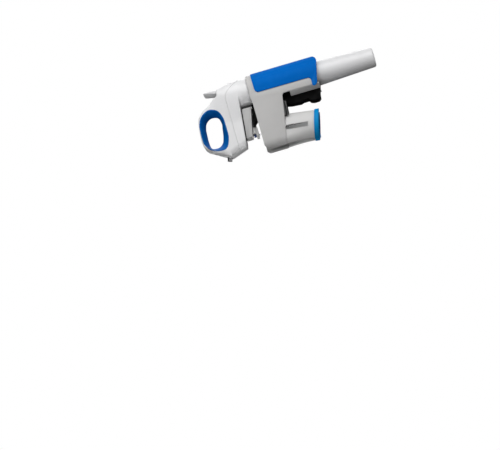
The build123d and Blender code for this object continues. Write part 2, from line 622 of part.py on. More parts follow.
# ---- trigger ----
def trigger():
    body = side(TRIGGER_PAD, -TRIGGER_W, TRIGGER_W) + side(TRIGGER_ROOT, -TRIGGER_ROOT_W, TRIGGER_ROOT_W)
    return body + pivot_rod(TRIGGER_ROOT_W, TRIGGER_EYE_R) - pivot_rod(TRIGGER_W, PIN_R + FIT)


# ---- capsule cup ----
CUP_TOP = TUBE_LOW - TUBE_RIM - SEAT
CUP_INNER_END_R = CAPSULE_R + 0.45
CUP_FLOOR_Z = CUP_END + CUP_FLOOR


def capsule_cup():
    straight = CUP_TOP - CUP_STRAIGHT
    body = tube_rod(straight, CUP_TOP, TUBE_R)
    body = body + cone(0, TUBE_Y, CUP_END, straight, CUP_INNER_END_R + CUP_WALL, TUBE_R)
    body = fillet(body.edges().sort_by(Axis.Z)[0], 1.8)
    shelf = TUBE_LOW - THREAD_LONG - 1
    body = body - tube_rod(shelf, 0, THREAD_R + FIT)
    return body - cone(0, TUBE_Y, CUP_FLOOR_Z, shelf + 0.1, CUP_INNER_END_R, THREAD_R)


def cup_pad():
    return tube_rod(CUP_FLOOR_Z, CUP_FLOOR_Z + PAD_T, CUP_INNER_END_R - 0.15)


def argon_capsule():
    neck_top = CAPSULE_SEAT - 0.4
    neck_low = neck_top - CAPSULE_NECK_LONG
    shoulder = neck_low - CAPSULE_SHOULDER
    body = tube_rod(CUP_FLOOR_Z + PAD_T, shoulder, CAPSULE_R) + tube_rod(neck_low, neck_top, CAPSULE_NECK_R)
    body = body + cone(0, TUBE_Y, shoulder, neck_low, CAPSULE_R, CAPSULE_NECK_R)
    body = fillet(body.edges().sort_by(Axis.Z)[0], 3.0)
    return body - tube_rod(neck_top - 5.6, 0, 1.2)


# ---- all sub-parts ----
def all_parts():
    parts = {}
    pad = grip_pad()
    shell = neck_shell()
    arm = {"panel": panel(pad), "grip_pad": pad, "neck_shell": shell, "neck_ring": neck_ring() - shell,
           "shell_screws": screw(*SCREWS[0]) + screw(*SCREWS[1])}
    for name, shape in arm.items():
        parts["right_" + name] = shape
        parts["left_" + name] = other(shape)
    parts["chassis"] = chassis()
    parts["upper_bush"], parts["lower_bush"] = bush(*BUSHES[0]), bush(*BUSHES[1])
    parts["stop_ring"] = stop_ring()
    parts["hinge_pins"] = hinge_pins()
    parts["clamp_springs"] = clamp_springs()
    parts["needle_guide"] = needle_guide()
    parts["guide_bush"] = guide_bush()
    parts["lower_housing"] = lower_housing()
    parts["handle"] = handle()
    parts["loop_liner"] = loop_liner()
    parts["manifold"] = manifold()
    parts["spout"] = spout()
    parts["valve_block"] = valve_block()
    screws = [block_screw(x, y) for x, y in BLOCK_SCREWS]
    parts["block_screws"] = screws[0] + screws[1] + screws[2] + screws[3]
    parts["needle_hub"] = needle_hub()
    parts["needle"] = needle()
    parts["needle_seal"] = needle_seal()
    parts["slide_tube"] = slide_tube()
    parts["pierce_block"] = pierce_block()
    parts["capsule_seal"] = capsule_seal()
    parts["pierce_pin"] = pierce_pin()
    parts["gas_pipe"] = gas_pipe()
    parts["regulator_body"] = regulator_body()
    parts["valve_stem"] = valve_stem()
    parts["valve_spring"] = valve_spring()
    parts["trigger"] = trigger()
    parts["trigger_pin"] = pivot_rod(PIVOT_HALF, PIN_R)
    parts["capsule_cup"] = capsule_cup()
    parts["cup_pad"] = cup_pad()
    parts["argon_capsule"] = argon_capsule()
    return parts


os.makedirs("parts", exist_ok=True)
for name, shape in all_parts().items():
    shape.label = name
    export_step(shape, "parts/" + name + ".step")
    print(name, len(shape.solids()), round(shape.volume, 1))
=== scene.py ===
import json
import math
import bpy
from mathutils import Matrix, Vector


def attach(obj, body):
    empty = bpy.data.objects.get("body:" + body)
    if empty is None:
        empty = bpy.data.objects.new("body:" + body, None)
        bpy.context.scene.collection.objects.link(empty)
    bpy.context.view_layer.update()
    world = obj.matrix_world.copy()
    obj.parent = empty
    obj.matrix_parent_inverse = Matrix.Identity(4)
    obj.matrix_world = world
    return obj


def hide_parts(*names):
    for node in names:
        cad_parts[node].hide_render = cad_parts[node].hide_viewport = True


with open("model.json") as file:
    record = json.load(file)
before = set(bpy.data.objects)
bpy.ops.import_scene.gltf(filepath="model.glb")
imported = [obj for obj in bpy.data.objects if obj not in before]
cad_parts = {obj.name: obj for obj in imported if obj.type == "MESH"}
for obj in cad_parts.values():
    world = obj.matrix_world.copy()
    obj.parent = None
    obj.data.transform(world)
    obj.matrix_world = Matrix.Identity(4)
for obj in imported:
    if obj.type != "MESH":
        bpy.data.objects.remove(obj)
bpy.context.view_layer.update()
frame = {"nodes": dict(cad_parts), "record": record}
MM = 0.001

# ---------------------------------------------------------------- camera
# The part is looked at from its right side, held head down with its tube to the right.
RIGHT = Vector((-0.10101612, -0.26292741, -0.95951286))
DOWN = Vector((-0.15848648, -0.94787745, 0.27642428))
AHEAD = Vector((-0.98218012, 0.17999312, 0.05408046))
EYE = Vector((1.71405, -0.40834, -0.05537))
FOCAL_PX, FRAME_PX, SENSOR = 1600.0, 500.0, 36.0

camera_data = bpy.data.cameras.new("camera")
camera = bpy.data.objects.new("camera", camera_data)
bpy.context.scene.collection.objects.link(camera)
camera_data.sensor_width = SENSOR
camera_data.lens = SENSOR * FOCAL_PX / FRAME_PX
turn = Matrix((RIGHT, -DOWN, -AHEAD)).transposed().to_4x4()
camera.matrix_world = Matrix.Translation(EYE) @ turn
bpy.context.scene.camera = camera

# ---------------------------------------------------------------- light and floor
WHITE = (1, 1, 1, 1)
ROOM_GLOW = 0.012    # what little light comes from all round

world = bpy.data.worlds.new("studio")
bpy.context.scene.world = world
world.use_nodes = True
sky = world.node_tree
sky.nodes.clear()
sky_out = sky.nodes.new("ShaderNodeOutputWorld")
seen = sky.nodes.new("ShaderNodeBackground")
felt = sky.nodes.new("ShaderNodeBackground")
either = sky.nodes.new("ShaderNodeMixShader")
path = sky.nodes.new("ShaderNodeLightPath")
for background, strength in ((seen, 1.0), (felt, ROOM_GLOW)):
    background.inputs["Color"].default_value = WHITE
    background.inputs["Strength"].default_value = strength
sky.links.new(path.outputs["Is Camera Ray"], either.inputs["Fac"])
sky.links.new(felt.outputs["Background"], either.inputs[1])
sky.links.new(seen.outputs["Background"], either.inputs[2])
sky.links.new(either.outputs["Shader"], sky_out.inputs["Surface"])
bpy.context.scene.view_settings.view_transform = "Standard"


def lamp(name, place, aim, size, watts, spread=180):
    """A square lamp, its size in metres and its spread in degrees."""
    data = bpy.data.lights.new(name, "AREA")
    data.shape = "SQUARE"
    data.size = size
    data.energy = watts
    data.spread = math.radians(spread)
    piece = bpy.data.objects.new(name, data)
    bpy.context.scene.collection.objects.link(piece)
    piece.location = place
    piece.rotation_mode = "QUATERNION"
    piece.rotation_quaternion = (Vector(aim) - Vector(place)).to_track_quat("-Z", "Y")


MIDDLE = (0, 0.025, -0.04)
IMAGE_UP = Vector((0.158, 0.948, -0.276))
IMAGE_LEFT = Vector((0.101, 0.263, 0.96))
TO_CAMERA = Vector((0.982, -0.18, -0.054))


def lamp_place(up, left, near, distance):
    """A place at a distance from the object's middle, up, left and near as the camera sees it."""
    way = IMAGE_UP * up + IMAGE_LEFT * left + TO_CAMERA * near
    return Vector(MIDDLE) + way.normalized() * distance


# name, place, size, watts
STUDIO_LAMPS = [("key", lamp_place(0.75, 0.1, 0.65, 0.85), 0.7, 5.3),
                ("low_left_fill", lamp_place(-0.5, 0.5, 0.7, 0.85), 0.7, 2.0),
                ("near_fill", lamp_place(0.1, 0.1, 1.0, 0.85), 0.7, 0.6),
                ("head_light", lamp_place(0.7, 0.65, 0.3, 0.40), 0.3, 0.5),
                ("far_fill", lamp_place(0.45, 0.1, -0.9, 0.95), 0.8, 4.5)]
for lamp_name, lamp_at, lamp_size, lamp_watts in STUDIO_LAMPS:
    lamp(lamp_name, lamp_at, MIDDLE, lamp_size, lamp_watts)

# a narrow lamp that lights the head's face alone
FRONT_PLACE, FRONT_AIM = (0.03, -0.44, 0.08), (0, 0, 0.03)
FRONT_SIZE, FRONT_WATTS, FRONT_SPREAD = 0.12, 0.013, 24
lamp("front_fill", FRONT_PLACE, FRONT_AIM, FRONT_SIZE, FRONT_WATTS, FRONT_SPREAD)

FLOOR_Z, FLOOR_R = -0.45, 0.45
bpy.ops.object.select_all(action="DESELECT")
bpy.ops.mesh.primitive_circle_add(vertices=96, radius=FLOOR_R, fill_type="NGON",
                                  location=(0, 0, FLOOR_Z))
floor = bpy.context.object
floor.name = "floor"
bpy.ops.object.transform_apply(location=True, rotation=True, scale=True)

# ---------------------------------------------------------------- ways of working
WELD, CUT_SLACK = 0.000002, 0.000001    # metres: points nearer than this are one
ARC_SHARE = 0.49                        # an arc takes at most this share of a side


def nothing_picked():
    if bpy.context.object and bpy.context.object.mode != "OBJECT":
        bpy.ops.object.mode_set(mode="OBJECT")
    bpy.ops.object.select_all(action="DESELECT")


def pick(piece):
    nothing_picked()
    piece.select_set(True)
    bpy.context.view_layer.objects.active = piece


def opened(piece):
    """Picks a piece and opens it in edit mode, with all of it selected."""
    pick(piece)
    bpy.ops.object.mode_set(mode="EDIT")
    bpy.ops.mesh.select_all(action="SELECT")


def shut():
    bpy.ops.object.mode_set(mode="OBJECT")


def set_in_place(piece):
    """Works a piece's place and turn into its mesh."""
    pick(piece)
    bpy.ops.object.transform_apply(location=True, rotation=True, scale=True)
    return piece


def smoothed(piece, angle):
    """Shades a piece smooth where its faces meet at less than the angle, in degrees."""
    pick(piece)
    bpy.ops.object.shade_smooth_by_angle(angle=math.radians(angle))
    return piece


def rounded(corners, steps):
    """Outline points from (y, z, radius) corners, each corner turned into an arc."""
    out = []
    count = len(corners)
    for i, (py, pz, radius) in enumerate(corners):
        here = Vector((py, pz))
        if radius <= 0:
            out.append((py, pz))
            continue
        to_a = (Vector(corners[i - 1][:2]) - here)
        to_b = (Vector(corners[(i + 1) % count][:2]) - here)
        room = min(to_a.length, to_b.length) * ARC_SHARE
        a, b = to_a.normalized(), to_b.normalized()
        half = a.angle(b) / 2
        back = min(radius / math.tan(half), room)
        radius = back * math.tan(half)
        centre = here + (a + b).normalized() * (radius / math.sin(half))
        start, end = here + a * back - centre, here + b * back - centre
        sweep = start.angle_signed(end)
        for k in range(steps + 1):
            turned = start.copy()
            turned.rotate(Matrix.Rotation(-sweep * k / steps, 2))
            out.append(tuple(centre + turned))
    return out


def flowing(points, steps, closed=True):
    """A smooth line through the points, with `steps` short runs between neighbours."""
    out = []
    count = len(points)
    runs = count if closed else count - 1
    for i in range(runs):
        if closed:
            p = [Vector(points[(i + k) % count]) for k in (-1, 0, 1, 2)]
        else:
            p = [Vector(points[min(max(i + k, 0), count - 1)]) for k in (-1, 0, 1, 2)]
        for k in range(steps):
            t = k / steps
            bend = (2 * p[0] - 5 * p[1] + 4 * p[2] - p[3]) * t * t
            turn = (3 * p[1] - p[0] - 3 * p[2] + p[3]) * t ** 3
            out.append(tuple(0.5 * (2 * p[1] + (p[2] - p[0]) * t + bend + turn)))
    if not closed:
        out.append(tuple(points[-1]))
    return out


def drawn(name, points, fill=True):
    """Draws a closed line of points in mm, one extruded point after the other."""
    nothing_picked()
    bpy.ops.mesh.primitive_plane_add(size=0.002, location=(0, 0, 0))
    piece = bpy.context.object
    piece.name = name
    bpy.ops.object.mode_set(mode="EDIT")
    bpy.ops.mesh.select_all(action="SELECT")
    bpy.ops.mesh.merge(type="CENTER")
    bpy.ops.mesh.select_all(action="SELECT")
    places = [Vector(p) * MM for p in points]
    bpy.ops.transform.translate(value=places[0])
    for a, b in zip(places, places[1:]):
        bpy.ops.mesh.extrude_vertices_move(TRANSFORM_OT_translate={"value": b - a})
    bpy.ops.mesh.select_all(action="SELECT")
    if fill:
        bpy.ops.mesh.edge_face_add()
    shut()
    return piece


def outwards(piece):
    """Welds the doubled points of a piece and turns its faces outwards."""
    opened(piece)
    bpy.ops.mesh.remove_doubles(threshold=WELD)
    bpy.ops.mesh.normals_make_consistent(inside=False)
    shut()
    return piece


def pulled(piece, by):
    """Pulls a filled outline into a solid."""
    opened(piece)
    bpy.ops.mesh.extrude_region_move(TRANSFORM_OT_translate={"value": Vector(by) * MM})
    shut()
    return outwards(piece)


def side_solid(name, outline, x0, x1):
    return pulled(drawn(name, [(x0, y, z) for y, z in outline]), (x1 - x0, 0, 0))


def plan_solid(name, outline, z0, z1):
    return pulled(drawn(name, [(x, y, z0) for x, y in outline]), (0, 0, z1 - z0))


def turned_solid(name, profile, y, steps):
    """Spins a (radius, z) profile about the upright axis at y.

    Where the profile's ends aren't on the axis it closes on itself.
    """
    if profile[0][0] > 0:
        profile = list(profile) + [profile[0]]
    piece = drawn(name, [(r, y, z) for r, z in profile], fill=False)
    opened(piece)
    bpy.ops.mesh.spin(steps=steps, angle=math.tau, center=Vector((0, y, 0)) * MM, axis=(0, 0, 1),
                      dupli=False)
    bpy.ops.mesh.select_all(action="SELECT")
    bpy.ops.mesh.remove_doubles(threshold=WELD)
    shut()
    return outwards(piece)


def lofted(name, rings):
    """Skins a row of closed lines in mm, each with as many points, and closes both ends."""
    loops = [drawn(name, ring, fill=False) for ring in rings]
    for loop in loops:
        opened(loop)
        bpy.ops.mesh.select_all(action="DESELECT")
        shut()
        loop.data.vertices[0].select = loop.data.vertices[-1].select = True
        bpy.ops.object.mode_set(mode="EDIT")
        bpy.ops.mesh.edge_face_add()
        shut()
    skin = joined(loops[0], *loops[1:])
    opened(skin)
    bpy.ops.mesh.bridge_edge_loops()
    bpy.ops.mesh.select_all(action="SELECT")
    bpy.ops.mesh.fill_holes(sides=0)
    shut()
    skin.name = name
    return outwards(skin)


def combined(piece, tool, how, keep_tool=False):
    pick(piece)
    step = piece.modifiers.new("step", "BOOLEAN")
    step.operation = how
    step.solver = "EXACT"
    step.object = tool
    bpy.ops.object.modifier_apply(modifier=step.name)
    if not keep_tool:
        bpy.data.objects.remove(tool)
    return piece


def cut(piece, tool, keep_tool=False):
    return combined(piece, tool, "DIFFERENCE", keep_tool)


def kept_in(piece, tool, keep_tool=False):
    return combined(piece, tool, "INTERSECT", keep_tool)


def joined(piece, *others):
    pick(piece)
    for o in others:
        o.select_set(True)
    bpy.ops.object.join()
    return piece


def doubled(piece, name):
    pick(piece)
    bpy.ops.object.duplicate()
    copy = bpy.context.object
    copy.name = name
    return copy


def mirrored(piece, name):
    """A copy for the other side of the object."""
    copy = doubled(piece, name)
    opened(copy)
    bpy.ops.transform.mirror(orient_type="GLOBAL", constraint_axis=(True, False, False),
                             center_override=(0, 0, 0))
    bpy.ops.mesh.flip_normals()
    shut()
    return copy


def softened(piece, width, steps, angle):
    """Rounds the edges that a mould or a cutter leaves, and shades the rest smooth."""
    pick(piece)
    edge = piece.modifiers.new("edge", "BEVEL")
    edge.width = width * MM
    edge.segments = steps
    edge.limit_method = "ANGLE"
    edge.angle_limit = math.radians(angle)
    edge.use_clamp_overlap = False
    edge.harden_normals = False
    bpy.ops.object.modifier_apply(modifier=edge.name)
    return smoothed(piece, 40)


def moulded(piece, grid, passes):
    """Runs overlapping solids together into one skin with soft inner and outer corners."""
    pick(piece)
    skin = piece.modifiers.new("skin", "REMESH")
    skin.mode = "VOXEL"
    skin.voxel_size = grid * MM
    bpy.ops.object.modifier_apply(modifier=skin.name)
    soft = piece.modifiers.new("soft", "SMOOTH")
    soft.factor = 0.5
    soft.iterations = passes
    bpy.ops.object.modifier_apply(modifier=soft.name)
    return piece


def placed(piece, body, slot, *nodes):
    """Gives a finished piece its material, its body and the solids it stands for."""
    set_in_place(piece)
    piece.data.materials.clear()
    piece.data.materials.append(finish[slot])
    for face in piece.data.polygons:
        face.material_index = 0
    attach(piece, body)
    if nodes:
        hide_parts(*nodes)
    return piece


def sliced(piece, point, normal, drop_outer=True):
    """Cuts a piece with a plane, in mm, and closes the cut."""
    opened(piece)
    bpy.ops.mesh.bisect(plane_co=Vector(point) * MM, plane_no=Vector(normal).normalized(),
                        use_fill=True, clear_outer=drop_outer, clear_inner=not drop_outer,
                        threshold=CUT_SLACK)
    shut()
    return outwards(piece)


def bar(name, middle, turned, length, radius, around):
    """A round bar about its own middle, in mm."""
    nothing_picked()
    bpy.ops.mesh.primitive_cylinder_add(vertices=around, radius=radius * MM, depth=length * MM,
                                        location=Vector(middle) * MM, rotation=turned)
    piece = bpy.context.object
    piece.name = name
    return set_in_place(piece)


def cross_pin(name, x0, x1, y, z, radius, around):
    """A round bar across the object."""
    return bar(name, ((x0 + x1) / 2, y, z), (0, math.pi / 2, 0), x1 - x0, radius, around)


def upright_pin(name, x, y, z0, z1, radius, around):
    """A round bar along the needle's direction."""
    return bar(name, (x, y, (z0 + z1) / 2), (0, 0, 0), z1 - z0, radius, around)


def block_of(name, x0, x1, y0, y1, z0, z1):
    return side_solid(name, [(y0, z0), (y1, z0), (y1, z1), (y0, z1)], x0, x1)


# ---------------------------------------------------------------- finishes
def new_group(name, takes, gives):
    group = bpy.data.node_groups.new(name, "ShaderNodeTree")
    for label, kind, value in takes:
        socket = group.interface.new_socket(name=label, in_out="INPUT", socket_type=kind)
        if value is not None:
            socket.default_value = value
    for label, kind in gives:
        group.interface.new_socket(name=label, in_out="OUTPUT", socket_type=kind)
    return group, group.nodes.new("NodeGroupInput"), group.nodes.new("NodeGroupOutput")


def noise_in(group, vector, scale, detail, rough=0.55):
    node = group.nodes.new("ShaderNodeTexNoise")
    node.inputs["Detail"].default_value = detail
    node.inputs["Roughness"].default_value = rough
    group.links.new(vector, node.inputs["Vector"])
    if isinstance(scale, (int, float)):
        node.inputs["Scale"].default_value = scale
    else:
        group.links.new(scale, node.inputs["Scale"])
    return node.outputs["Fac"]


def sum_in(group, how, a, b):
    node = group.nodes.new("ShaderNodeMath")
    node.operation = how
    for i, value in enumerate((a, b)):
        if isinstance(value, (int, float)):
            node.inputs[i].default_value = value
        else:
            group.links.new(value, node.inputs[i])
    return node.outputs[0]


def spread_in(group, value, low, high, to_low=0.0, to_high=1.0):
    node = group.nodes.new("ShaderNodeMapRange")
    group.links.new(value, node.inputs["Value"])
    node.inputs["From Min"].default_value = low
    node.inputs["From Max"].default_value = high
    node.inputs["To Min"].default_value = to_low
    node.inputs["To Max"].default_value = to_high
    return node.outputs["Result"]


def mould_texture():
    """The fine spark-eroded texture of a moulded part, with slow differences in tone."""
    takes = [("Vector", "NodeSocketVector", None), ("Grain Scale", "NodeSocketFloat", 2200.0),
             ("Cloud Scale", "NodeSocketFloat", 26.0)]
    gives = [("Grain", "NodeSocketFloat"), ("Cloud", "NodeSocketFloat")]
    group, given, out = new_group("mould_texture", takes, gives)
    fine = noise_in(group, given.outputs["Vector"], given.outputs["Grain Scale"], 3.0)
    cloud = noise_in(group, given.outputs["Vector"], given.outputs["Cloud Scale"], 4.0)
    group.links.new(fine, out.inputs["Grain"])
    group.links.new(cloud, out.inputs["Cloud"])
    return group


def edge_wear_and_highlight():
    """The outer edges, broken up by a noise: scuffed by hands and the table, and on the blue grip pad
    partly a painted highlight.
    """
    takes = [("Vector", "NodeSocketVector", None), ("Amount", "NodeSocketFloat", 0.3)]
    group, given, out = new_group("edge_wear_and_highlight", takes, [("Wear And Highlight", "NodeSocketFloat")])
    form = group.nodes.new("ShaderNodeNewGeometry")
    edge = spread_in(group, form.outputs["Pointiness"], 0.52, 0.60)
    patches = noise_in(group, given.outputs["Vector"], 140.0, 5.0, 0.65)
    patches = spread_in(group, patches, 0.38, 0.62, to_low=0.15)
    both = sum_in(group, "MULTIPLY", edge, patches)
    wear_and_highlight_mask = sum_in(group, "MULTIPLY", both, given.outputs["Amount"])
    group.links.new(wear_and_highlight_mask, out.inputs["Wear And Highlight"])
    return group


def settled_dust():
    """A trace of dust and finger marks, which dulls the gloss in patches."""
    takes = [("Vector", "NodeSocketVector", None), ("Amount", "NodeSocketFloat", 0.1)]
    group, given, out = new_group("settled_dust", takes, [("Dull", "NodeSocketFloat")])
    smears = noise_in(group, given.outputs["Vector"], 60.0, 6.0, 0.6)
    smears = spread_in(group, smears, 0.42, 0.70)
    dulled = sum_in(group, "MULTIPLY", smears, given.outputs["Amount"])
    group.links.new(dulled, out.inputs["Dull"])
    return group


def drawn_lines():
    """Fine turning or drawing marks round a metal part's long axis."""
    takes = [("Vector", "NodeSocketVector", None), ("Lines", "NodeSocketFloat", 3500.0)]
    group, given, out = new_group("drawn_lines", takes, [("Marks", "NodeSocketFloat")])
    stretch = group.nodes.new("ShaderNodeMapping")
    stretch.inputs["Scale"].default_value = (0.02, 0.02, 1.0)
    group.links.new(given.outputs["Vector"], stretch.inputs["Vector"])
    marks = noise_in(group, stretch.outputs["Vector"], given.outputs["Lines"], 2.0)
    group.links.new(marks, out.inputs["Marks"])
    return group


TEXTURE, EDGE_WEAR_AND_HIGHLIGHT = mould_texture(), edge_wear_and_highlight()
DUST, LINES = settled_dust(), drawn_lines()
RELIEF_DEPTH = 0.0001    # metres


def started(name):
    made = bpy.data.materials.new(name)
    made.use_nodes = True
    tree = made.node_tree
    shader = tree.nodes["Principled BSDF"]
    where = tree.nodes.new("ShaderNodeTexCoord").outputs["Object"]
    return made, tree, shader, where


def use(tree, group, where, **values):
    node = tree.nodes.new("ShaderNodeGroup")
    node.node_tree = group
    tree.links.new(where, node.inputs["Vector"])
    for key, value in values.items():
        node.inputs[key.replace("_", " ")].default_value = value
    return node


def blended(tree, mask, a, b):
    node = tree.nodes.new("ShaderNodeMix")
    node.data_type = "RGBA"
    tree.links.new(mask, node.inputs["Factor"])
    for socket, value in ((node.inputs[6], a), (node.inputs[7], b)):
        if isinstance(value, tuple):
            socket.default_value = (*value, 1.0)
        else:
            tree.links.new(value, socket)
    return node.outputs[2]


def relief_on(tree, shader, height, depth):
    """Raises a pattern in the surface, by a share of RELIEF_DEPTH."""
    relief = tree.nodes.new("ShaderNodeBump")
    relief.inputs["Strength"].default_value = depth
    relief.inputs["Distance"].default_value = RELIEF_DEPTH
    tree.links.new(height, relief.inputs["Height"])
    tree.links.new(relief.outputs["Normal"], shader.inputs["Normal"])


def plastic(name, colour, shade, rough, grain=2200.0, depth=0.06, wear_and_highlight_tone=None, wear_and_highlight_amount=0.25,
            dust=0.06, level=0.5):
    """A moulded plastic or rubber: two close tones in clouds, fine grain, lighter scuffed edges (on
    the grip pad partly painted highlight), some dust.
    """
    made, tree, shader, where = started(name)
    mould = use(tree, TEXTURE, where, Grain_Scale=grain)
    wear_and_highlight = use(tree, EDGE_WEAR_AND_HIGHLIGHT, where, Amount=wear_and_highlight_amount)
    dull = use(tree, DUST, where, Amount=dust)
    clouds = spread_in(tree, mould.outputs["Cloud"], 0.35, 0.65)
    base = blended(tree, clouds, colour, shade)
    edge_tone = wear_and_highlight_tone or tuple(min(1.0, c * 1.25 + 0.03) for c in colour)
    base = blended(tree, wear_and_highlight.outputs["Wear And Highlight"], base, edge_tone)
    tree.links.new(base, shader.inputs["Base Color"])
    gloss = spread_in(tree, mould.outputs["Grain"], 0.3, 0.7, rough - 0.04, rough + 0.04)
    gloss = sum_in(tree, "ADD", gloss, dull.outputs["Dull"])
    polish = sum_in(tree, "MULTIPLY", wear_and_highlight.outputs["Wear And Highlight"], 0.2)
    tree.links.new(sum_in(tree, "SUBTRACT", gloss, polish), shader.inputs["Roughness"])
    relief_on(tree, shader, mould.outputs["Grain"], depth)
    shader.inputs["Specular IOR Level"].default_value = level
    return made


def metal(name, colour, shade, rough, lines=3500.0, depth=0.05):
    """A turned or drawn metal: fine marks round its axis, tarnish in clouds and bright edges."""
    made, tree, shader, where = started(name)
    mould = use(tree, TEXTURE, where, Grain_Scale=900.0, Cloud_Scale=90.0)
    marks = use(tree, LINES, where, Lines=lines)
    wear_and_highlight = use(tree, EDGE_WEAR_AND_HIGHLIGHT, where, Amount=0.5)
    clouds = spread_in(tree, mould.outputs["Cloud"], 0.35, 0.65)
    base = blended(tree, clouds, colour, shade)
    bright = tuple(min(1.0, c * 1.2 + 0.05) for c in colour)
    base = blended(tree, wear_and_highlight.outputs["Wear And Highlight"], base, bright)
    tree.links.new(base, shader.inputs["Base Color"])
    shader.inputs["Metallic"].default_value = 1.0
    gloss = spread_in(tree, marks.outputs["Marks"], 0.3, 0.7, rough - 0.07, rough + 0.07)
    tree.links.new(gloss, shader.inputs["Roughness"])
    relief_on(tree, shader, marks.outputs["Marks"], depth)
    return made


# for each: main tone, second tone, roughness, and what differs from plastic's own values
PLASTICS = {
    "white_plastic": ((0.80, 0.80, 0.805), (0.77, 0.77, 0.78), 0.36, {"depth": 0.03, "wear_and_highlight_amount": 0.1}),
    "white_trigger": ((0.72, 0.72, 0.73), (0.68, 0.68, 0.69), 0.38, {"depth": 0.03, "wear_and_highlight_amount": 0.15}),
    "grey_plastic": ((0.53, 0.53, 0.525), (0.50, 0.50, 0.495), 0.52, {"depth": 0.12, "wear_and_highlight_amount": 0.2}),
    "clamp_grey": ((0.525, 0.52, 0.515), (0.505, 0.50, 0.495), 0.58,
                   {"depth": 0.16, "wear_and_highlight_amount": 0.2, "level": 0.3}),
    "shell_grey": ((0.67, 0.665, 0.66), (0.645, 0.64, 0.635), 0.5,
                   {"depth": 0.12, "wear_and_highlight_amount": 0.2, "level": 0.35}),
    # painted highlight, partly: the grip pad's light blue edge tone and large edge amount stand in
    # for the highlight line along its rounded edges, besides scuffing
    "blue_rubber": ((0.0, 0.130, 0.52), (0.0, 0.122, 0.49), 0.75,
                    {"grain": 1500.0, "depth": 0.22, "wear_and_highlight_tone": (0.05, 0.25, 0.66), "wear_and_highlight_amount": 0.5,
                     "level": 0.03}),
    "blue_liner": ((0.0, 0.115, 0.42), (0.0, 0.105, 0.38), 0.55,
                   {"grain": 1800.0, "depth": 0.10, "wear_and_highlight_tone": (0.03, 0.24, 0.58), "wear_and_highlight_amount": 0.45,
                    "level": 0.08}),
    "blue_ring": ((0.0, 0.26, 0.62), (0.0, 0.24, 0.58), 0.5,
                  {"grain": 1800.0, "depth": 0.10, "wear_and_highlight_tone": (0.06, 0.36, 0.75), "wear_and_highlight_amount": 0.35,
                   "level": 0.12}),
    "black_plastic": ((0.0016, 0.0016, 0.0017), (0.003, 0.003, 0.0032), 0.65,
                      {"depth": 0.2, "wear_and_highlight_tone": (0.02, 0.02, 0.02), "wear_and_highlight_amount": 0.4, "level": 0.03,
                       "dust": 0.01}),
    "black_rubber": ((0.016, 0.016, 0.016), (0.024, 0.024, 0.024), 0.8,
                     {"grain": 1400.0, "depth": 0.3, "wear_and_highlight_tone": (0.07, 0.07, 0.07), "wear_and_highlight_amount": 0.4,
                      "level": 0.3}),
    "bush_plastic": ((0.045, 0.045, 0.046), (0.06, 0.06, 0.06), 0.42, {"depth": 0.05, "wear_and_highlight_amount": 0.4}),
    "navy_plastic": ((0.012, 0.035, 0.14), (0.02, 0.05, 0.17), 0.35, {"depth": 0.05, "wear_and_highlight_amount": 0.4}),
    "inner_plastic": ((0.68, 0.68, 0.66), (0.62, 0.62, 0.60), 0.5, {"depth": 0.05, "wear_and_highlight_amount": 0.2}),
}
METALS = {
    "stainless": ((0.62, 0.62, 0.63), (0.54, 0.54, 0.55), 0.24, {}),
    "screw_steel": ((0.50, 0.50, 0.51), (0.42, 0.42, 0.43), 0.32, {}),
    "spring_steel": ((0.40, 0.40, 0.41), (0.33, 0.33, 0.34), 0.36, {"lines": 1800.0}),
    "nickel_brass": ((0.62, 0.60, 0.56), (0.54, 0.52, 0.48), 0.22, {}),
    "anodised": ((0.50, 0.51, 0.53), (0.44, 0.45, 0.47), 0.42, {"depth": 0.1}),
    "capsule_steel": ((0.48, 0.49, 0.52), (0.42, 0.43, 0.46), 0.33, {"depth": 0.04}),
}
finish = {}
for kind, table in ((plastic, PLASTICS), (metal, METALS)):
    for label, (tone, second_tone, roughness, own) in table.items():
        finish[label] = kind(label, tone, second_tone, roughness, **own)

# every carried-over solid gets its slot's finish
for part in frame["record"]["subparts"]:
    solid = frame["nodes"][part["node"]]
    for holder in solid.material_slots:
        holder.material = finish[part["material_slot"]]
    if not solid.material_slots:
        solid.data.materials.append(finish[part["material_slot"]])

# ---------------------------------------------------------------- sizes of the pieces, mm
TUBE_Y, TUBE_R = 48.0, 13.5
HALF_W, INNER_W = 19.0, 16.7       # the arm's outer and inner face
FRONT_Y = -21.5
HEAD_W = 12.5                      # half the head's width
SEAM_Z = 27.0                      # where handle and lower housing meet
ARM_X, FRONT_X = 8.8, 5.1          # how far the half rings reach in, at the back and the front
LEAN = math.radians(6.5)           # of the neck line
RING_TILT = math.radians(8.0)
AWAY = 30                          # a place well outside the object


# ---------------------------------------------------------------- capsule cup
CUP_TOP, CUP_LOW, CUP_FLOOR = -64.3, -142.3, 2.4
CUP_SIDE = [(11.96, CUP_TOP, 0), (TUBE_R, CUP_TOP, 0.5), (TUBE_R, -80.0, 8.0), (10.85, CUP_LOW, 2.2),
            (0.0, CUP_LOW, 0), (0.0, CUP_LOW + CUP_FLOOR, 0), (9.35, CUP_LOW + CUP_FLOOR, 0.6),
            (11.9, -77.0, 0), (11.96, -77.0, 0)]
cup = turned_solid("capsule_cup_body", rounded(CUP_SIDE, 7), TUBE_Y, 96)
placed(smoothed(cup, 40), "cup", "white_plastic", "capsule_cup")

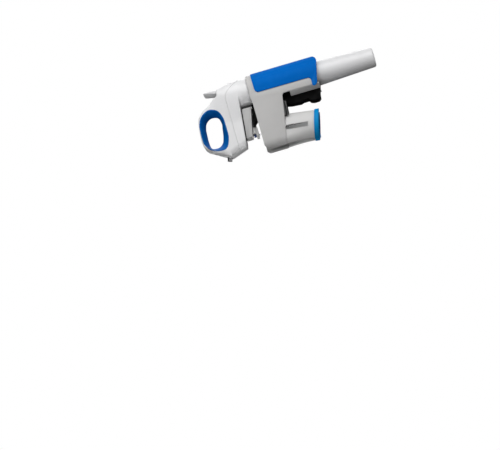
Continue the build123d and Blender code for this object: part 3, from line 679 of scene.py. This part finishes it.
# ---------------------------------------------------------------- clamp arms
PANEL_SIDE = [(70, 0.4, 0), (37.0, 0.4, 3.0), (31.0, -0.5, 3.0), (FRONT_Y + 4, -0.5, 2.5),
              (FRONT_Y - 0.1, -4.0, 2.5), (FRONT_Y - 0.1, -24.5, 0.8), (8.7, -30.3, 6),
              (33.3, -34.4, 3.3), (33.3, -69.2, 0.6), (33.4, -72.6, 0.6), (56.5, -78.4, 2),
              (62.6, -78.3, 2), (65.2, -76.2, 2), (67.0, -71.0, 3), (70, -66.0, 0)]
PAD_SIDE = [(70, -5.6, 0), (41.7, -6.3, 4.4), (41.4, -69.0, 3.4), (32.4, -68.5, 1.0),
            (30.9, -69.9, 1.0), (31.5, -72.8, 1.2), (34.4, -74.6, 3.0), (56.5, -79.7, 4),
            (59.8, -80.1, 2), (63.2, -79.4, 2), (65.8, -77.7, 2), (67.4, -75.0, 2), (68.0, -71.6, 2),
            (70, -66.0, 0)]
LIP_PLAN = [(HALF_W - 0.2, 33.2), (HALF_W - 2.1, 34.4), (HALF_W - 9.2, 31.4), (HALF_W - 8.8, 29.1)]
LIP_LOW, LIP_TOP = -76.6, -42.8
RIB_SIDE = [(24.8, -33.4), (24.3, -35.9), (9.2, -34.9), (9.2, -32.0)]
LINK_SIDE = [(24.8, -31.5), (24.3, -35.0), (9.2, -33.5), (9.2, -29.0)]
RIB_T, LINK_T, RIB_GAP = 3.2, 0.6, 0.02
HINGE_X, HINGE_Y, HINGE_ROOM_R = 12.5, 25.0, 1.56
LUG_R = 3.6
LUG_SPANS = [(-16.0, -12.0), (-29.0, -25.0)]
ARM_LOW, ARM_TOP = -86, 2
PAD_BED, PAD_OUT = 0.45, 0.9       # how deep the grip lies in the panel, and how far it stands out
# half width, front, radius of the front corners, radius of the back
OUTER_PLAN = (HALF_W, FRONT_Y, 9.0, HALF_W)
INNER_PLAN = (INNER_W, FRONT_Y + 2.3, 6.8, 17.7)
AROUND_PLAN = (HALF_W + 2, FRONT_Y - 2, 9.0, HALF_W + 2)
BED_PLAN = (HALF_W - PAD_BED, FRONT_Y + 1, 8.0, HALF_W - PAD_BED)
GRIP_PLAN = (HALF_W + PAD_OUT, FRONT_Y, 9.0, HALF_W + PAD_OUT)


def arm_plan(half, front, corner, back_r):
    """Plan of both arms: straight sides, rounded front corners and a round back."""
    meet = TUBE_Y - math.sqrt(max(back_r ** 2 - half ** 2, 0.0))
    start = math.asin(min(half / back_r, 1.0))
    back = [(back_r * math.sin(a), TUBE_Y - back_r * math.cos(a))
            for a in [start + (math.tau - 2 * start) * k / 72 for k in range(1, 72)]]
    corners = [(-half, meet, 0), (-half, front, corner), (half, front, corner), (half, meet, 0)]
    return rounded(corners, 12) + back


def arm_wall(name, outer, inner):
    shell = plan_solid(name, arm_plan(*outer), ARM_LOW, ARM_TOP)
    return cut(shell, plan_solid("room_in_" + name, arm_plan(*inner), ARM_LOW - 1, ARM_TOP + 1))


def hinge_lug(z0, z1):
    """An eye for the hinge pin, with its root in the panel."""
    lug = upright_pin("lug", HINGE_X, HINGE_Y, z0, z1, LUG_R, 48)
    root = block_of("lug_root", HINGE_X, INNER_W + 0.3, HINGE_Y - LUG_R, HINGE_Y + LUG_R, z0, z1)
    combined(lug, root, "UNION")
    return cut(lug, upright_pin("pin_room", HINGE_X, HINGE_Y, z0 - 1, z1 + 1, HINGE_ROOM_R, 32))


def make_right_panel():
    wall = arm_wall("right_panel_body", OUTER_PLAN, INNER_PLAN)
    kept_in(wall, side_solid("panel_side", rounded(PANEL_SIDE, 6), 2.6, AWAY))
    cut(wall, block_of("front_gap", 0, 10, -AWAY, 0, -90, 5))
    pad_room = kept_in(plan_solid("pad_room", arm_plan(*AROUND_PLAN), ARM_LOW, ARM_TOP),
                       side_solid("pad_side", rounded(PAD_SIDE, 6), 2.0, AWAY))
    cut(pad_room, plan_solid("pad_bed", arm_plan(*BED_PLAN), ARM_LOW - 1, ARM_TOP + 1))
    cut(wall, pad_room)
    softened(wall, 0.35, 2, 40)
    combined(wall, softened(plan_solid("lip", LIP_PLAN, LIP_LOW, LIP_TOP), 0.4, 3, 40), "UNION")
    for z0, z1 in LUG_SPANS:
        combined(wall, hinge_lug(z0, z1), "UNION")
    return smoothed(wall, 35)


def make_right_painted_shade_rib():
    """The rib inside the panel, and the thin plate that links it to the wall; its dark finish is
    painted shade.
    """
    rib = side_solid("right_panel_painted_shade_rib", RIB_SIDE, INNER_W - RIB_T, INNER_W - RIB_GAP)
    softened(rib, 0.3, 2, 40)
    link = side_solid("link", LINK_SIDE, INNER_W - LINK_T, INNER_W - RIB_GAP)
    return joined(rib, softened(link, 0.1, 1, 40))


def make_right_pad():
    pad = arm_wall("right_grip_pad_body", GRIP_PLAN, BED_PLAN)
    kept_in(pad, side_solid("pad_edge", rounded(PAD_SIDE, 7), 2.8, AWAY))
    return softened(pad, 0.55, 3, 40)


def along_neck(piece):
    """Stands a piece that was made upright on the leaning neck line, turned over."""
    piece.rotation_euler.x = math.pi - LEAN
    return outwards(set_in_place(piece))


def neck_face(a):
    """Point and direction of the ring's slanted face, before a piece is stood on the neck line."""
    return (0, 0, a), (0, math.sin(RING_TILT), math.cos(RING_TILT))


def halved(ring):
    """Keeps the right half of a ring round the neck; it reaches further in at the front."""
    sliced(ring, (FRONT_X, 0, 0), (1, 0, 0), False)
    return cut(ring, block_of("back_gap", 0, ARM_X, -AWAY, 0, 0, 90))


SLEEVE_R, SLEEVE_GROWTH, SLEEVE_WALL = 17.0, 1.2, 1.8    # it grows from the ring to the arm
SLEEVE_END, SLEEVE_LENGTH = 59.6, 39.6
SLEEVE_LEVELS = [20, 26, 32, 38, 44, 50, 56, 62, 68, 74.2]
SQUARE_FROM, SQUARE_OVER = 61.0, 36.0     # it turns squarer from here on, over this length
SQUARE_R, SQUARE_FRONT, SQUARE_STOP = 8.6, 21.3, 11.2
SLOT_Y0, SLOT_Y1, SLOT_TOP, SLOT_END = -1.05, 4.05, 26.0, 53.0
SLEEVE_UNDER, SLEEVE_UNDER_WAY = (0, -21.6, -24.64), (0, 0.1918, 1.0)
TONGUE_PROFILE = [(14.6, 9.0), (16.4, 9.0), (16.4, 36.0), (14.6, 36.0)]
TONGUE_X = 10.4
SHELL_SCREWS = [(-1.4, -12.5), (-2.3, -20.5)]
BOSS_R, SCREW_HEAD_R, SCREW_R = 2.8, 2.0, 1.0
RING_PROFILE = [(15.0, 45.0), (17.8, 45.0), (17.8, 80.0), (15.0, 80.0)]
RING_NEAR, RING_FAR = 59.66, 64.8
GRIP_BAND = [(14.6, 60.7), (15.1, 60.5), (15.1, 63.9), (14.6, 63.7)]
BACK_STEPS, FRONT_STEPS = 12, 24
BRIDGE_CAP = (-6.4, 6.4, 27.2, 33.3, -5.5, 2.5)


def shell_tongue():
    """The sleeve's upper end: it lies flat inside the panel and is held by two screws."""
    tongue = turned_solid("tongue", TONGUE_PROFILE, 0, 96)
    sliced(tongue, (TONGUE_X, 0, 0), (1, 0, 0), False)
    cut(tongue, block_of("slot_room", 8, 24, SLOT_Y0 - 0.2, SLOT_Y1 + 0.2, SLOT_TOP - 0.2, 60.0))
    along_neck(tongue)
    inner = INNER_W - 4.0
    for y, z in SHELL_SCREWS:
        boss = cross_pin("boss", INNER_W - 1.7, INNER_W - 0.05, y, z, BOSS_R, 32)
        combined(tongue, boss, "UNION")
        cut(tongue, cross_pin("head_room", inner, INNER_W - 0.86, y, z, SCREW_HEAD_R, 24))
        cut(tongue, cross_pin("screw_room", inner, INNER_W + 1.0, y, z, SCREW_R, 24))
    return softened(tongue, 0.15, 2, 60)


def sleeve_line(a, inset):
    """Half a line round the neck at a, from the back edge to the front edge, as (x, y) points.

    At the ring it's round. Towards the panel its front half grows into the panel's squarer plan.
    """
    r = SLEEVE_R + SLEEVE_GROWTH * (SLEEVE_END - a) / SLEEVE_LENGTH - inset
    back = -math.acos(ARM_X / r)
    turns = [back * (1 - k / BACK_STEPS) for k in range(BACK_STEPS)]
    line = [(r * math.cos(turn), r * math.sin(turn)) for turn in turns]
    square = min(max((SQUARE_FROM - a) / SQUARE_OVER, 0.0), 1.0)
    corner = SQUARE_R - inset
    front = (SQUARE_FRONT - a * math.sin(LEAN)) / math.cos(LEAN) - inset
    straight, stop = front - corner, math.acos((SQUARE_STOP - r + corner) / corner)
    whole = straight + corner * stop
    for k in range(FRONT_STEPS + 1):
        turn = math.acos(FRONT_X / r) * k / FRONT_STEPS
        way = whole * k / FRONT_STEPS
        if way < straight:
            squarer = Vector((r, way))
        else:
            bend = (way - straight) / corner
            squarer = Vector((r - corner + corner * math.cos(bend),
                              straight + corner * math.sin(bend)))
        line.append(tuple(Vector((r * math.cos(turn), r * math.sin(turn))).lerp(squarer, square)))
    return line


def make_right_shell():
    rings = []
    for a in SLEEVE_LEVELS:
        line = sleeve_line(a, 0.0) + sleeve_line(a, SLEEVE_WALL)[::-1]
        rings.append([(x, y, a) for x, y in line])
    sleeve = lofted("right_neck_shell_body", rings)
    sliced(sleeve, *neck_face(SLEEVE_END))
    slot_plan = [(8, SLOT_Y0), (24, SLOT_Y0), (24, SLOT_Y1), (8, SLOT_Y1)]
    slot = plan_solid("slot", slot_plan, SLOT_TOP, 60.0)
    sliced(slot, *neck_face(SLOT_END))
    softened(slot, 0.5, 3, 40)
    along_neck(sleeve)
    cut(sleeve, along_neck(slot))
    sliced(sleeve, SLEEVE_UNDER, SLEEVE_UNDER_WAY)
    softened(sleeve, 0.3, 2, 40)
    return smoothed(joined(sleeve, shell_tongue()), 35)


def make_right_ring():
    """The blue half ring, with a thin band inside that grips the glass."""
    band = halved(turned_solid("right_neck_ring_body", RING_PROFILE, 0, 128))
    sliced(band, *neck_face(RING_FAR))
    sliced(band, *neck_face(RING_NEAR), False)
    softened(band, 0.45, 3, 40)
    joined(band, halved(turned_solid("grip_band", GRIP_BAND, 0, 128)))
    return smoothed(along_neck(band), 35)


ARM_PIECES = [(make_right_panel, "panel", "clamp_grey"), (make_right_pad, "grip_pad", "blue_rubber"),
              (make_right_shell, "neck_shell", "shell_grey"),
              (make_right_ring, "neck_ring", "blue_ring")]
for make, what, slot_name in ARM_PIECES:
    right = make()
    left = mirrored(right, "left_" + what + "_body")
    placed(right, "right_arm", slot_name, "right_" + what)
    placed(left, "left_arm", slot_name, "left_" + what)
rib = make_right_painted_shade_rib()
other_rib = mirrored(rib, "left_panel_painted_shade_rib")
# painted shade: the rib's dark bush_plastic finish stands in for the shadow inside the panel
placed(rib, "right_arm", "bush_plastic")
placed(other_rib, "left_arm", "bush_plastic")
bridge_cap = softened(block_of("bridge_cap", *BRIDGE_CAP), 0.5, 3, 40)
placed(bridge_cap, "chassis", "black_plastic")

# ---------------------------------------------------------------- head
BLOCK_W, BLOCK_ROUND = 9.5, 3.4
BLOCK_FRONT, BLOCK_BACK, BLOCK_TOP = -3.0, 30.7, 20.0
BLOCK_WIDE_Y, BLOCK_TAPER = 17.0, 2.8     # it narrows from here to its front, by so much a side
BLOCK_LOW_Y, BLOCK_LOW_Z = 30.4, 2.8      # the back of its lower end
BLOCK_RISE = 0.2168                       # slope of its lower end
# painted shade: a black band round the valve block's top and a lip behind it fill gaps where only
# shadow falls
BLOCK_GAP, GAP_SHADE_UP, GAP_SHADE_IN = 1.1, 2.2, 0.9
HUB_ROOM_R, BLOCK_SCREW_R = 2.2, 2.4
BLOCK_SCREWS = [(6.2, 25.0), (6.2, 13.0), (-6.2, 25.0), (-6.2, 13.0)]
BACK_GAP_SHADE = (-8.4, 8.4, 30.4, 32.8, 3.5, 13.0)
SKIRT_Y = 49.3
HANDLE_SIDE = [(-14.4, 26.0), (-15.8, 30.0), (-16.8, 33.5), (-17.2, 36.8), (-16.4, 40.0),
               (-15.0, 43.3), (-11.2, 49.0), (-7.5, 55.0), (-3.2, 60.8), (0.6, 63.8), (5.0, 64.8),
               (12.2, 64.9), (19.0, 64.5), (25.6, 63.7), (33.1, 62.0), (38.0, 58.0), (41.3, 54.4),
               (44.6, 48.5), (46.2, 45.3), (49.9, 40.4), (51.2, 37.6), (52.6, 35.9), (55.6, 35.4),
               (58.4, 35.3), (59.8, 34.3), (60.4, 31.3), (60.8, 27.8), (61.6, 24.5), (63.0, 20.5),
               (64.9, 15.5), (66.5, 8.0), (66.8, 0.0)]
LOWER_SIDE = [(-15.8, 30, 1.0), (-12.2, 21.0, 4.5), (-7.4, 18.2, 3.0), (34, 14.0, 1.5),
              (52, 14.0, 1.5), (52, 30, 1.5)]
UNDER_Y, UNDER_Z, UNDER_RISE = 34, 14.0, 4.2 / 40.6    # the slanting underside of the head
SEAM_SIDE = [(-40, SEAM_Z), (46.0, SEAM_Z), (50.4, 25.8), (53.0, 23.6), (56.7, 19.3), (60.0, 14.6),
             (64.0, 8.5), (72.0, 0.0)]
SEAM_GAP = 0.0002                         # metres
BULGE_PROFILE = [(0, 0.3), (15.3, 0.3), (15.6, 0.8), (16.9, 10.0), (16.9, 18.5), (0, 18.5)]
CHEEK_Y, CHEEK_OUT = 12.0, 4.4            # where the cheeks begin, and how far they swell
CHEEK_SWELL = [(12.0, 1.0), (20.0, 1.0), (25.0, 0.93), (30.0, 0.74), (35.0, 0.46), (40.0, 0.19),
               (45.0, 0.03)]
# low end and high end of a front line, and how far it is rounded back
LOWER_BOW = ((-12.4, 22.0), (-17.1, 36.0), 9.0)
UPPER_BOW = ((-16.9, 39.0), (-7.3, 55.0), 7.0)
LOOP_MID = Vector((15.3, 49.0))
LOOP_FACE = [(38.6, 49.0), (33.7, 57.6), (26.0, 61.6), (18.4, 62.4), (12.1, 62.6), (4.4, 62.2),
             (-3.6, 58.2), (-7.7, 49.0), (-5.8, 39.6), (4.1, 35.6), (12.1, 35.4), (18.4, 35.6),
             (26.0, 36.0), (35.2, 40.0)]
LOOP_THROAT = [(32.4, 49.0), (28.6, 55.0), (22.4, 57.4), (17.3, 57.9), (12.9, 58.1), (7.6, 58.2),
               (-0.4, 56.6), (-1.6, 49.0), (2.0, 43.8), (8.6, 41.4), (13.2, 40.6), (17.5, 40.0),
               (23.4, 39.2), (30.6, 41.4)]
LOOP_STEPS = [-1, -0.86, -0.7, -0.52, -0.34, -0.17, 0, 0.17, 0.34, 0.52, 0.7, 0.86, 1]
LOOP_FLARE = 1.35
LINER_OUT, LINER_ROOM = 1.3, 1.36
MANIFOLD_SIDE = [(-8.6, 20.4), (8.0, 20.0), (8.0, 33.0), (1.0, 34.0), (-5.0, 41.8), (-10.6, 41.8),
                 (-10.6, 24.0)]
MANIFOLD_W, MANIFOLD_ROOM_W = 4.15, 4.3
SPOUT_Z, SPOUT_RISE = 35.7, math.radians(16.2)
SPOUT_ROOMS = [("spout_room", 6.0, 17.0, 2.9), ("spout_mouth", 17.0, 26.0, 3.5)]
TRIGGER_ROOT = [(60.3, 33.0), (57.0, 36.0), (56.4, 31.0), (53.0, 27.4), (46.2, 25.8), (46.2, 23.0),
                (53.0, 23.0), (58.0, 24.0)]
TRIGGER_ROOM = [(64.0, 30.4), (55.6, 30.8), (50.0, 37.4), (50.0, 60.0), (64.0, 60.0)]
TRIGGER_ROOT_W, TRIGGER_ROOM_W, TRIGGER_EYE_R = 5.7, 9.6, 3.0
# z, top, edge, keel and half width of the thumb pad, from its tip to its root
PAD_RINGS = [(49.9, 60.1, 59.4, 58.6, 7.6), (49.3, 60.6, 59.2, 57.4, 8.7),
             (48.0, 60.6, 59.0, 56.7, 9.1), (44.5, 60.4, 58.3, 56.1, 9.2),
             (40.3, 60.2, 57.2, 55.4, 9.2), (36.5, 59.8, 56.4, 54.8, 9.1),
             (34.4, 59.5, 56.2, 54.9, 8.8), (32.4, 59.2, 56.2, 55.2, 5.7)]
SLOT_BACK = [(51.4, 26.0), (61.6, 26.0), (61.6, 44.0), (51.4, 44.0)]
SLOT_W = 6.2
HEAD_GRID, HEAD_PASSES = 0.52, 6
TRIGGER_GRID, TRIGGER_PASSES = 0.36, 3
PIVOT_Y, PIVOT_Z, PIVOT_R, EYE_ROOM_R = 55.5, 24.5, 1.5, 1.56


def loop_line(grow, flare):
    """The finger loop's line between throat (flare 0) and face (flare 1), grown outwards in mm."""
    out = []
    for throat, face in zip(LOOP_THROAT, LOOP_FACE):
        p = Vector(throat).lerp(Vector(face), flare)
        out.append(tuple(p + (p - LOOP_MID).normalized() * grow))
    return flowing(out, 6)


def loop_funnel(name, grow, half):
    """The space through the finger loop, narrow in the middle and flared at both faces."""
    rings = []
    for s in LOOP_STEPS:
        rings.append([(half * s, y, z) for y, z in loop_line(grow, abs(s) ** LOOP_FLARE)])
    return lofted(name, rings)


def block_plan(grow):
    w, r = BLOCK_W + grow, BLOCK_ROUND + grow
    nose, back, front = w - BLOCK_TAPER, BLOCK_BACK + grow, BLOCK_FRONT - grow
    return rounded([(-w, back, 0.5), (-w, BLOCK_WIDE_Y, 12.0), (-nose, front, r),
                    (nose, front, r), (w, BLOCK_WIDE_Y, 12.0), (w, back, 0.5)], 12)


def head_cheeks():
    """The head's sides swell smoothly from the flat of the handle to the round of the skirt."""
    root, deep = HEAD_W - 0.4, SKIRT_Y - CHEEK_Y
    rings = []
    for z, swell in CHEEK_SWELL:
        w = HEAD_W - 0.1 + CHEEK_OUT * swell
        side = []
        for k in range(11):
            t = k / 10
            side.append((root + (w - HEAD_W + 0.4) * t * t * (3 - 2 * t), CHEEK_Y + deep * t))
        back = [(w * math.cos(math.pi * k / 24), SKIRT_Y + w * math.sin(math.pi * k / 24))
                for k in range(1, 24)]
        half = [(x, y, z) for x, y in side + back]
        rings.append(half + [(-x, y, z) for x, y in side[::-1]])
    return sliced(lofted("head_cheeks", rings), (0, UNDER_Y, UNDER_Z), (0, UNDER_RISE, 1.0), False)


def blunted(piece, low_end, high_end, depth):
    """Rounds a piece's front between two (y, z) points of its front line, like a boat's bow."""
    (y0, z0), (y1, z1) = low_end, high_end
    half = [((HEAD_W + 0.1) * math.sin(t) ** 0.5, depth * (1 - math.cos(t)))
            for t in [math.radians(6 * k) for k in range(1, 16)]] + [(15.0, 120.0)]
    plan = [(-x, y) for x, y in half[::-1]] + [(0.0, 0.0)] + half
    bow = plan_solid("bow", plan, -90, 90)
    bow.rotation_euler.x = math.atan2(y0 - y1, z1 - z0)
    bow.location = Vector((0, y0, z0)) * MM
    return kept_in(piece, set_in_place(bow))


def front_rounded(piece):
    blunted(piece, *LOWER_BOW)
    return blunted(piece, *UPPER_BOW)


def head_form():
    """The whole head as one soft form, from which handle and lower housing are parted."""
    profile = flowing(HANDLE_SIDE, 3, closed=False) + [(40, 0), (-10, 0)]
    tall = [p for p in profile if p[1] >= 0]
    slab = side_solid("head_slab", tall, -HEAD_W, HEAD_W)
    softened(slab, 2.6, 4, 60)
    sliced(slab, (0, 0, SEAM_Z - 8.5), (0, 0, 1), False)
    bulge = turned_solid("head_bulge", BULGE_PROFILE, SKIRT_Y, 96)
    side = side_solid("bulge_side", tall, -25, 25)
    kept_in(bulge, side, keep_tool=True)
    cheeks = kept_in(head_cheeks(), side)
    lower = side_solid("lower_slab", rounded(LOWER_SIDE, 6), -HEAD_W, HEAD_W)
    form = joined(front_rounded(slab), front_rounded(lower), bulge, cheeks)
    form.name = "head_form"
    return moulded(form, HEAD_GRID, HEAD_PASSES)


def spout_bar(name, s0, s1, radius):
    """A round bar along the spout, between two distances from the needle's line."""
    way = Vector((0, -math.cos(SPOUT_RISE), math.sin(SPOUT_RISE)))
    middle = Vector((0, 0, SPOUT_Z)) + way * (s0 + s1) / 2
    return bar(name, middle, (math.pi / 2 - SPOUT_RISE, 0, 0), s1 - s0, radius, 48)


def make_head():
    lower = head_form()
    cut(lower, upright_pin("tube_room", 0, TUBE_Y, -5, 20.0, TUBE_R + 0.12, 96))
    cut(lower, side_solid("manifold_room", MANIFOLD_SIDE, -MANIFOLD_ROOM_W, MANIFOLD_ROOM_W))
    under = side_solid("under_seam", SEAM_SIDE + [(72, -20), (-40, -20)], -40, 40)
    room = block_of("slot_low", -SLOT_W, SLOT_W, TUBE_Y - 4, TUBE_Y + 11.6, 20.0, SEAM_Z + 3)
    back = side_solid("slot_back", SLOT_BACK, -SLOT_W, SLOT_W)
    handle = doubled(lower, "handle_body")
    lower.name = "lower_housing_body"
    kept_in(lower, under, keep_tool=True)
    opened(under)
    bpy.ops.transform.translate(value=(0, SEAM_GAP, SEAM_GAP))
    shut()
    cut(handle, under)
    cut(lower, plan_solid("block_room", block_plan(0.6), 2, BLOCK_TOP))
    pivot_w = TRIGGER_ROOM_W
    for piece in (lower, handle):
        cut(piece, room, keep_tool=True)
        cut(piece, back, keep_tool=True)
        cut(piece, cross_pin("pivot_room", -pivot_w, pivot_w, PIVOT_Y, PIVOT_Z, PIVOT_R, 32))
    bpy.data.objects.remove(room)
    bpy.data.objects.remove(back)
    cut(handle, loop_funnel("loop_room", LINER_ROOM, HEAD_W + 0.8))
    cut(handle, side_solid("trigger_room", TRIGGER_ROOM, -TRIGGER_ROOM_W, TRIGGER_ROOM_W))
    for name, s0, s1, radius in SPOUT_ROOMS:
        cut(handle, spout_bar(name, s0, s1, radius))
    placed(smoothed(lower, 38), "head", "white_plastic", "lower_housing")
    placed(smoothed(handle, 38), "head", "white_plastic", "handle")


def make_liner():
    liner = loop_funnel("loop_liner_body", LINER_OUT, HEAD_W)
    cut(liner, loop_funnel("finger_room", 0.0, HEAD_W + 0.05))
    softened(front_rounded(liner), 0.25, 2, 50)
    placed(liner, "head", "blue_liner", "loop_liner")


def trigger_pad():
    """The thumb pad: a broad plate with thin edges and a belly like a shallow boat."""
    rings = []
    for z, top, edge, keel, w in PAD_RINGS:
        half = [(0.0, top - 0.7), (4.5, top - 0.5), (w - 1.0, top), (w, top - 0.5), (w, edge),
                (w * 0.66, edge - 0.62 * (edge - keel)), (w * 0.33, keel + 0.1), (0.0, keel)]
        rings.append([(x, y, z) for x, y in half] + [(-x, y, z) for x, y in half[-2:0:-1]])
    return lofted("trigger_body", rings)


def make_trigger():
    w = TRIGGER_ROOT_W
    lever = trigger_pad()
    root = side_solid("trigger_root", TRIGGER_ROOT, -w, w)
    eye = cross_pin("trigger_eye", -w, w, PIVOT_Y, PIVOT_Z, TRIGGER_EYE_R, 48)
    moulded(joined(lever, root, eye), TRIGGER_GRID, TRIGGER_PASSES)
    cut(lever, cross_pin("pin_room", -12, 12, PIVOT_Y, PIVOT_Z, EYE_ROOM_R, 32))
    placed(smoothed(lever, 40), "trigger", "white_trigger", "trigger")


def underside(y):
    """Height of the valve block's lower end at y."""
    return BLOCK_LOW_Z + (BLOCK_LOW_Y - y) * BLOCK_RISE


def make_gap_shade():
    """A black band in the gap between the head and the valve block, with a lip behind the block:
    painted shade.
    """
    gap_shade = plan_solid("block_gap_shade", block_plan(-GAP_SHADE_IN), 8, BLOCK_TOP)
    sliced(gap_shade, (0, 0, underside(0) + 1.0), (0, -BLOCK_RISE, -1.0))
    softened(gap_shade, 0.2, 1, 40)
    sliced(gap_shade, (0, UNDER_Y, UNDER_Z - GAP_SHADE_UP), (0, UNDER_RISE, 1.0), False)
    cut(gap_shade, upright_pin("hub_room", 0, 0, 0, 30, HUB_ROOM_R, 40))
    joined(gap_shade, softened(block_of("back_gap_shade", *BACK_GAP_SHADE), 0.3, 2, 40))
    # painted shade: the black_rubber finish darkens the gaps round the valve block
    placed(gap_shade, "head", "black_rubber")


def make_valve_block():
    block = plan_solid("valve_block_body", block_plan(0), -2, BLOCK_TOP)
    sliced(block, (0, 0, underside(0)), (0, -BLOCK_RISE, -1.0))
    sliced(block, (0, UNDER_Y, UNDER_Z - BLOCK_GAP), (0, UNDER_RISE, 1.0))
    softened(block, 0.4, 3, 40)
    make_gap_shade()
    cut(block, upright_pin("hub_room", 0, 0, 0, 30, HUB_ROOM_R, 40))
    for x, y in BLOCK_SCREWS:
        z = underside(y) + 1.2
        cut(block, upright_pin("head_room", x, y, -2, z + 1.8, BLOCK_SCREW_R, 32))
    placed(smoothed(block, 35), "head", "grey_plastic", "valve_block")


make_head()
make_liner()
make_trigger()
make_valve_block()
manifold = side_solid("manifold_body", MANIFOLD_SIDE, -MANIFOLD_W, MANIFOLD_W)
placed(softened(manifold, 0.2, 1, 40), "head", "inner_plastic", "manifold")
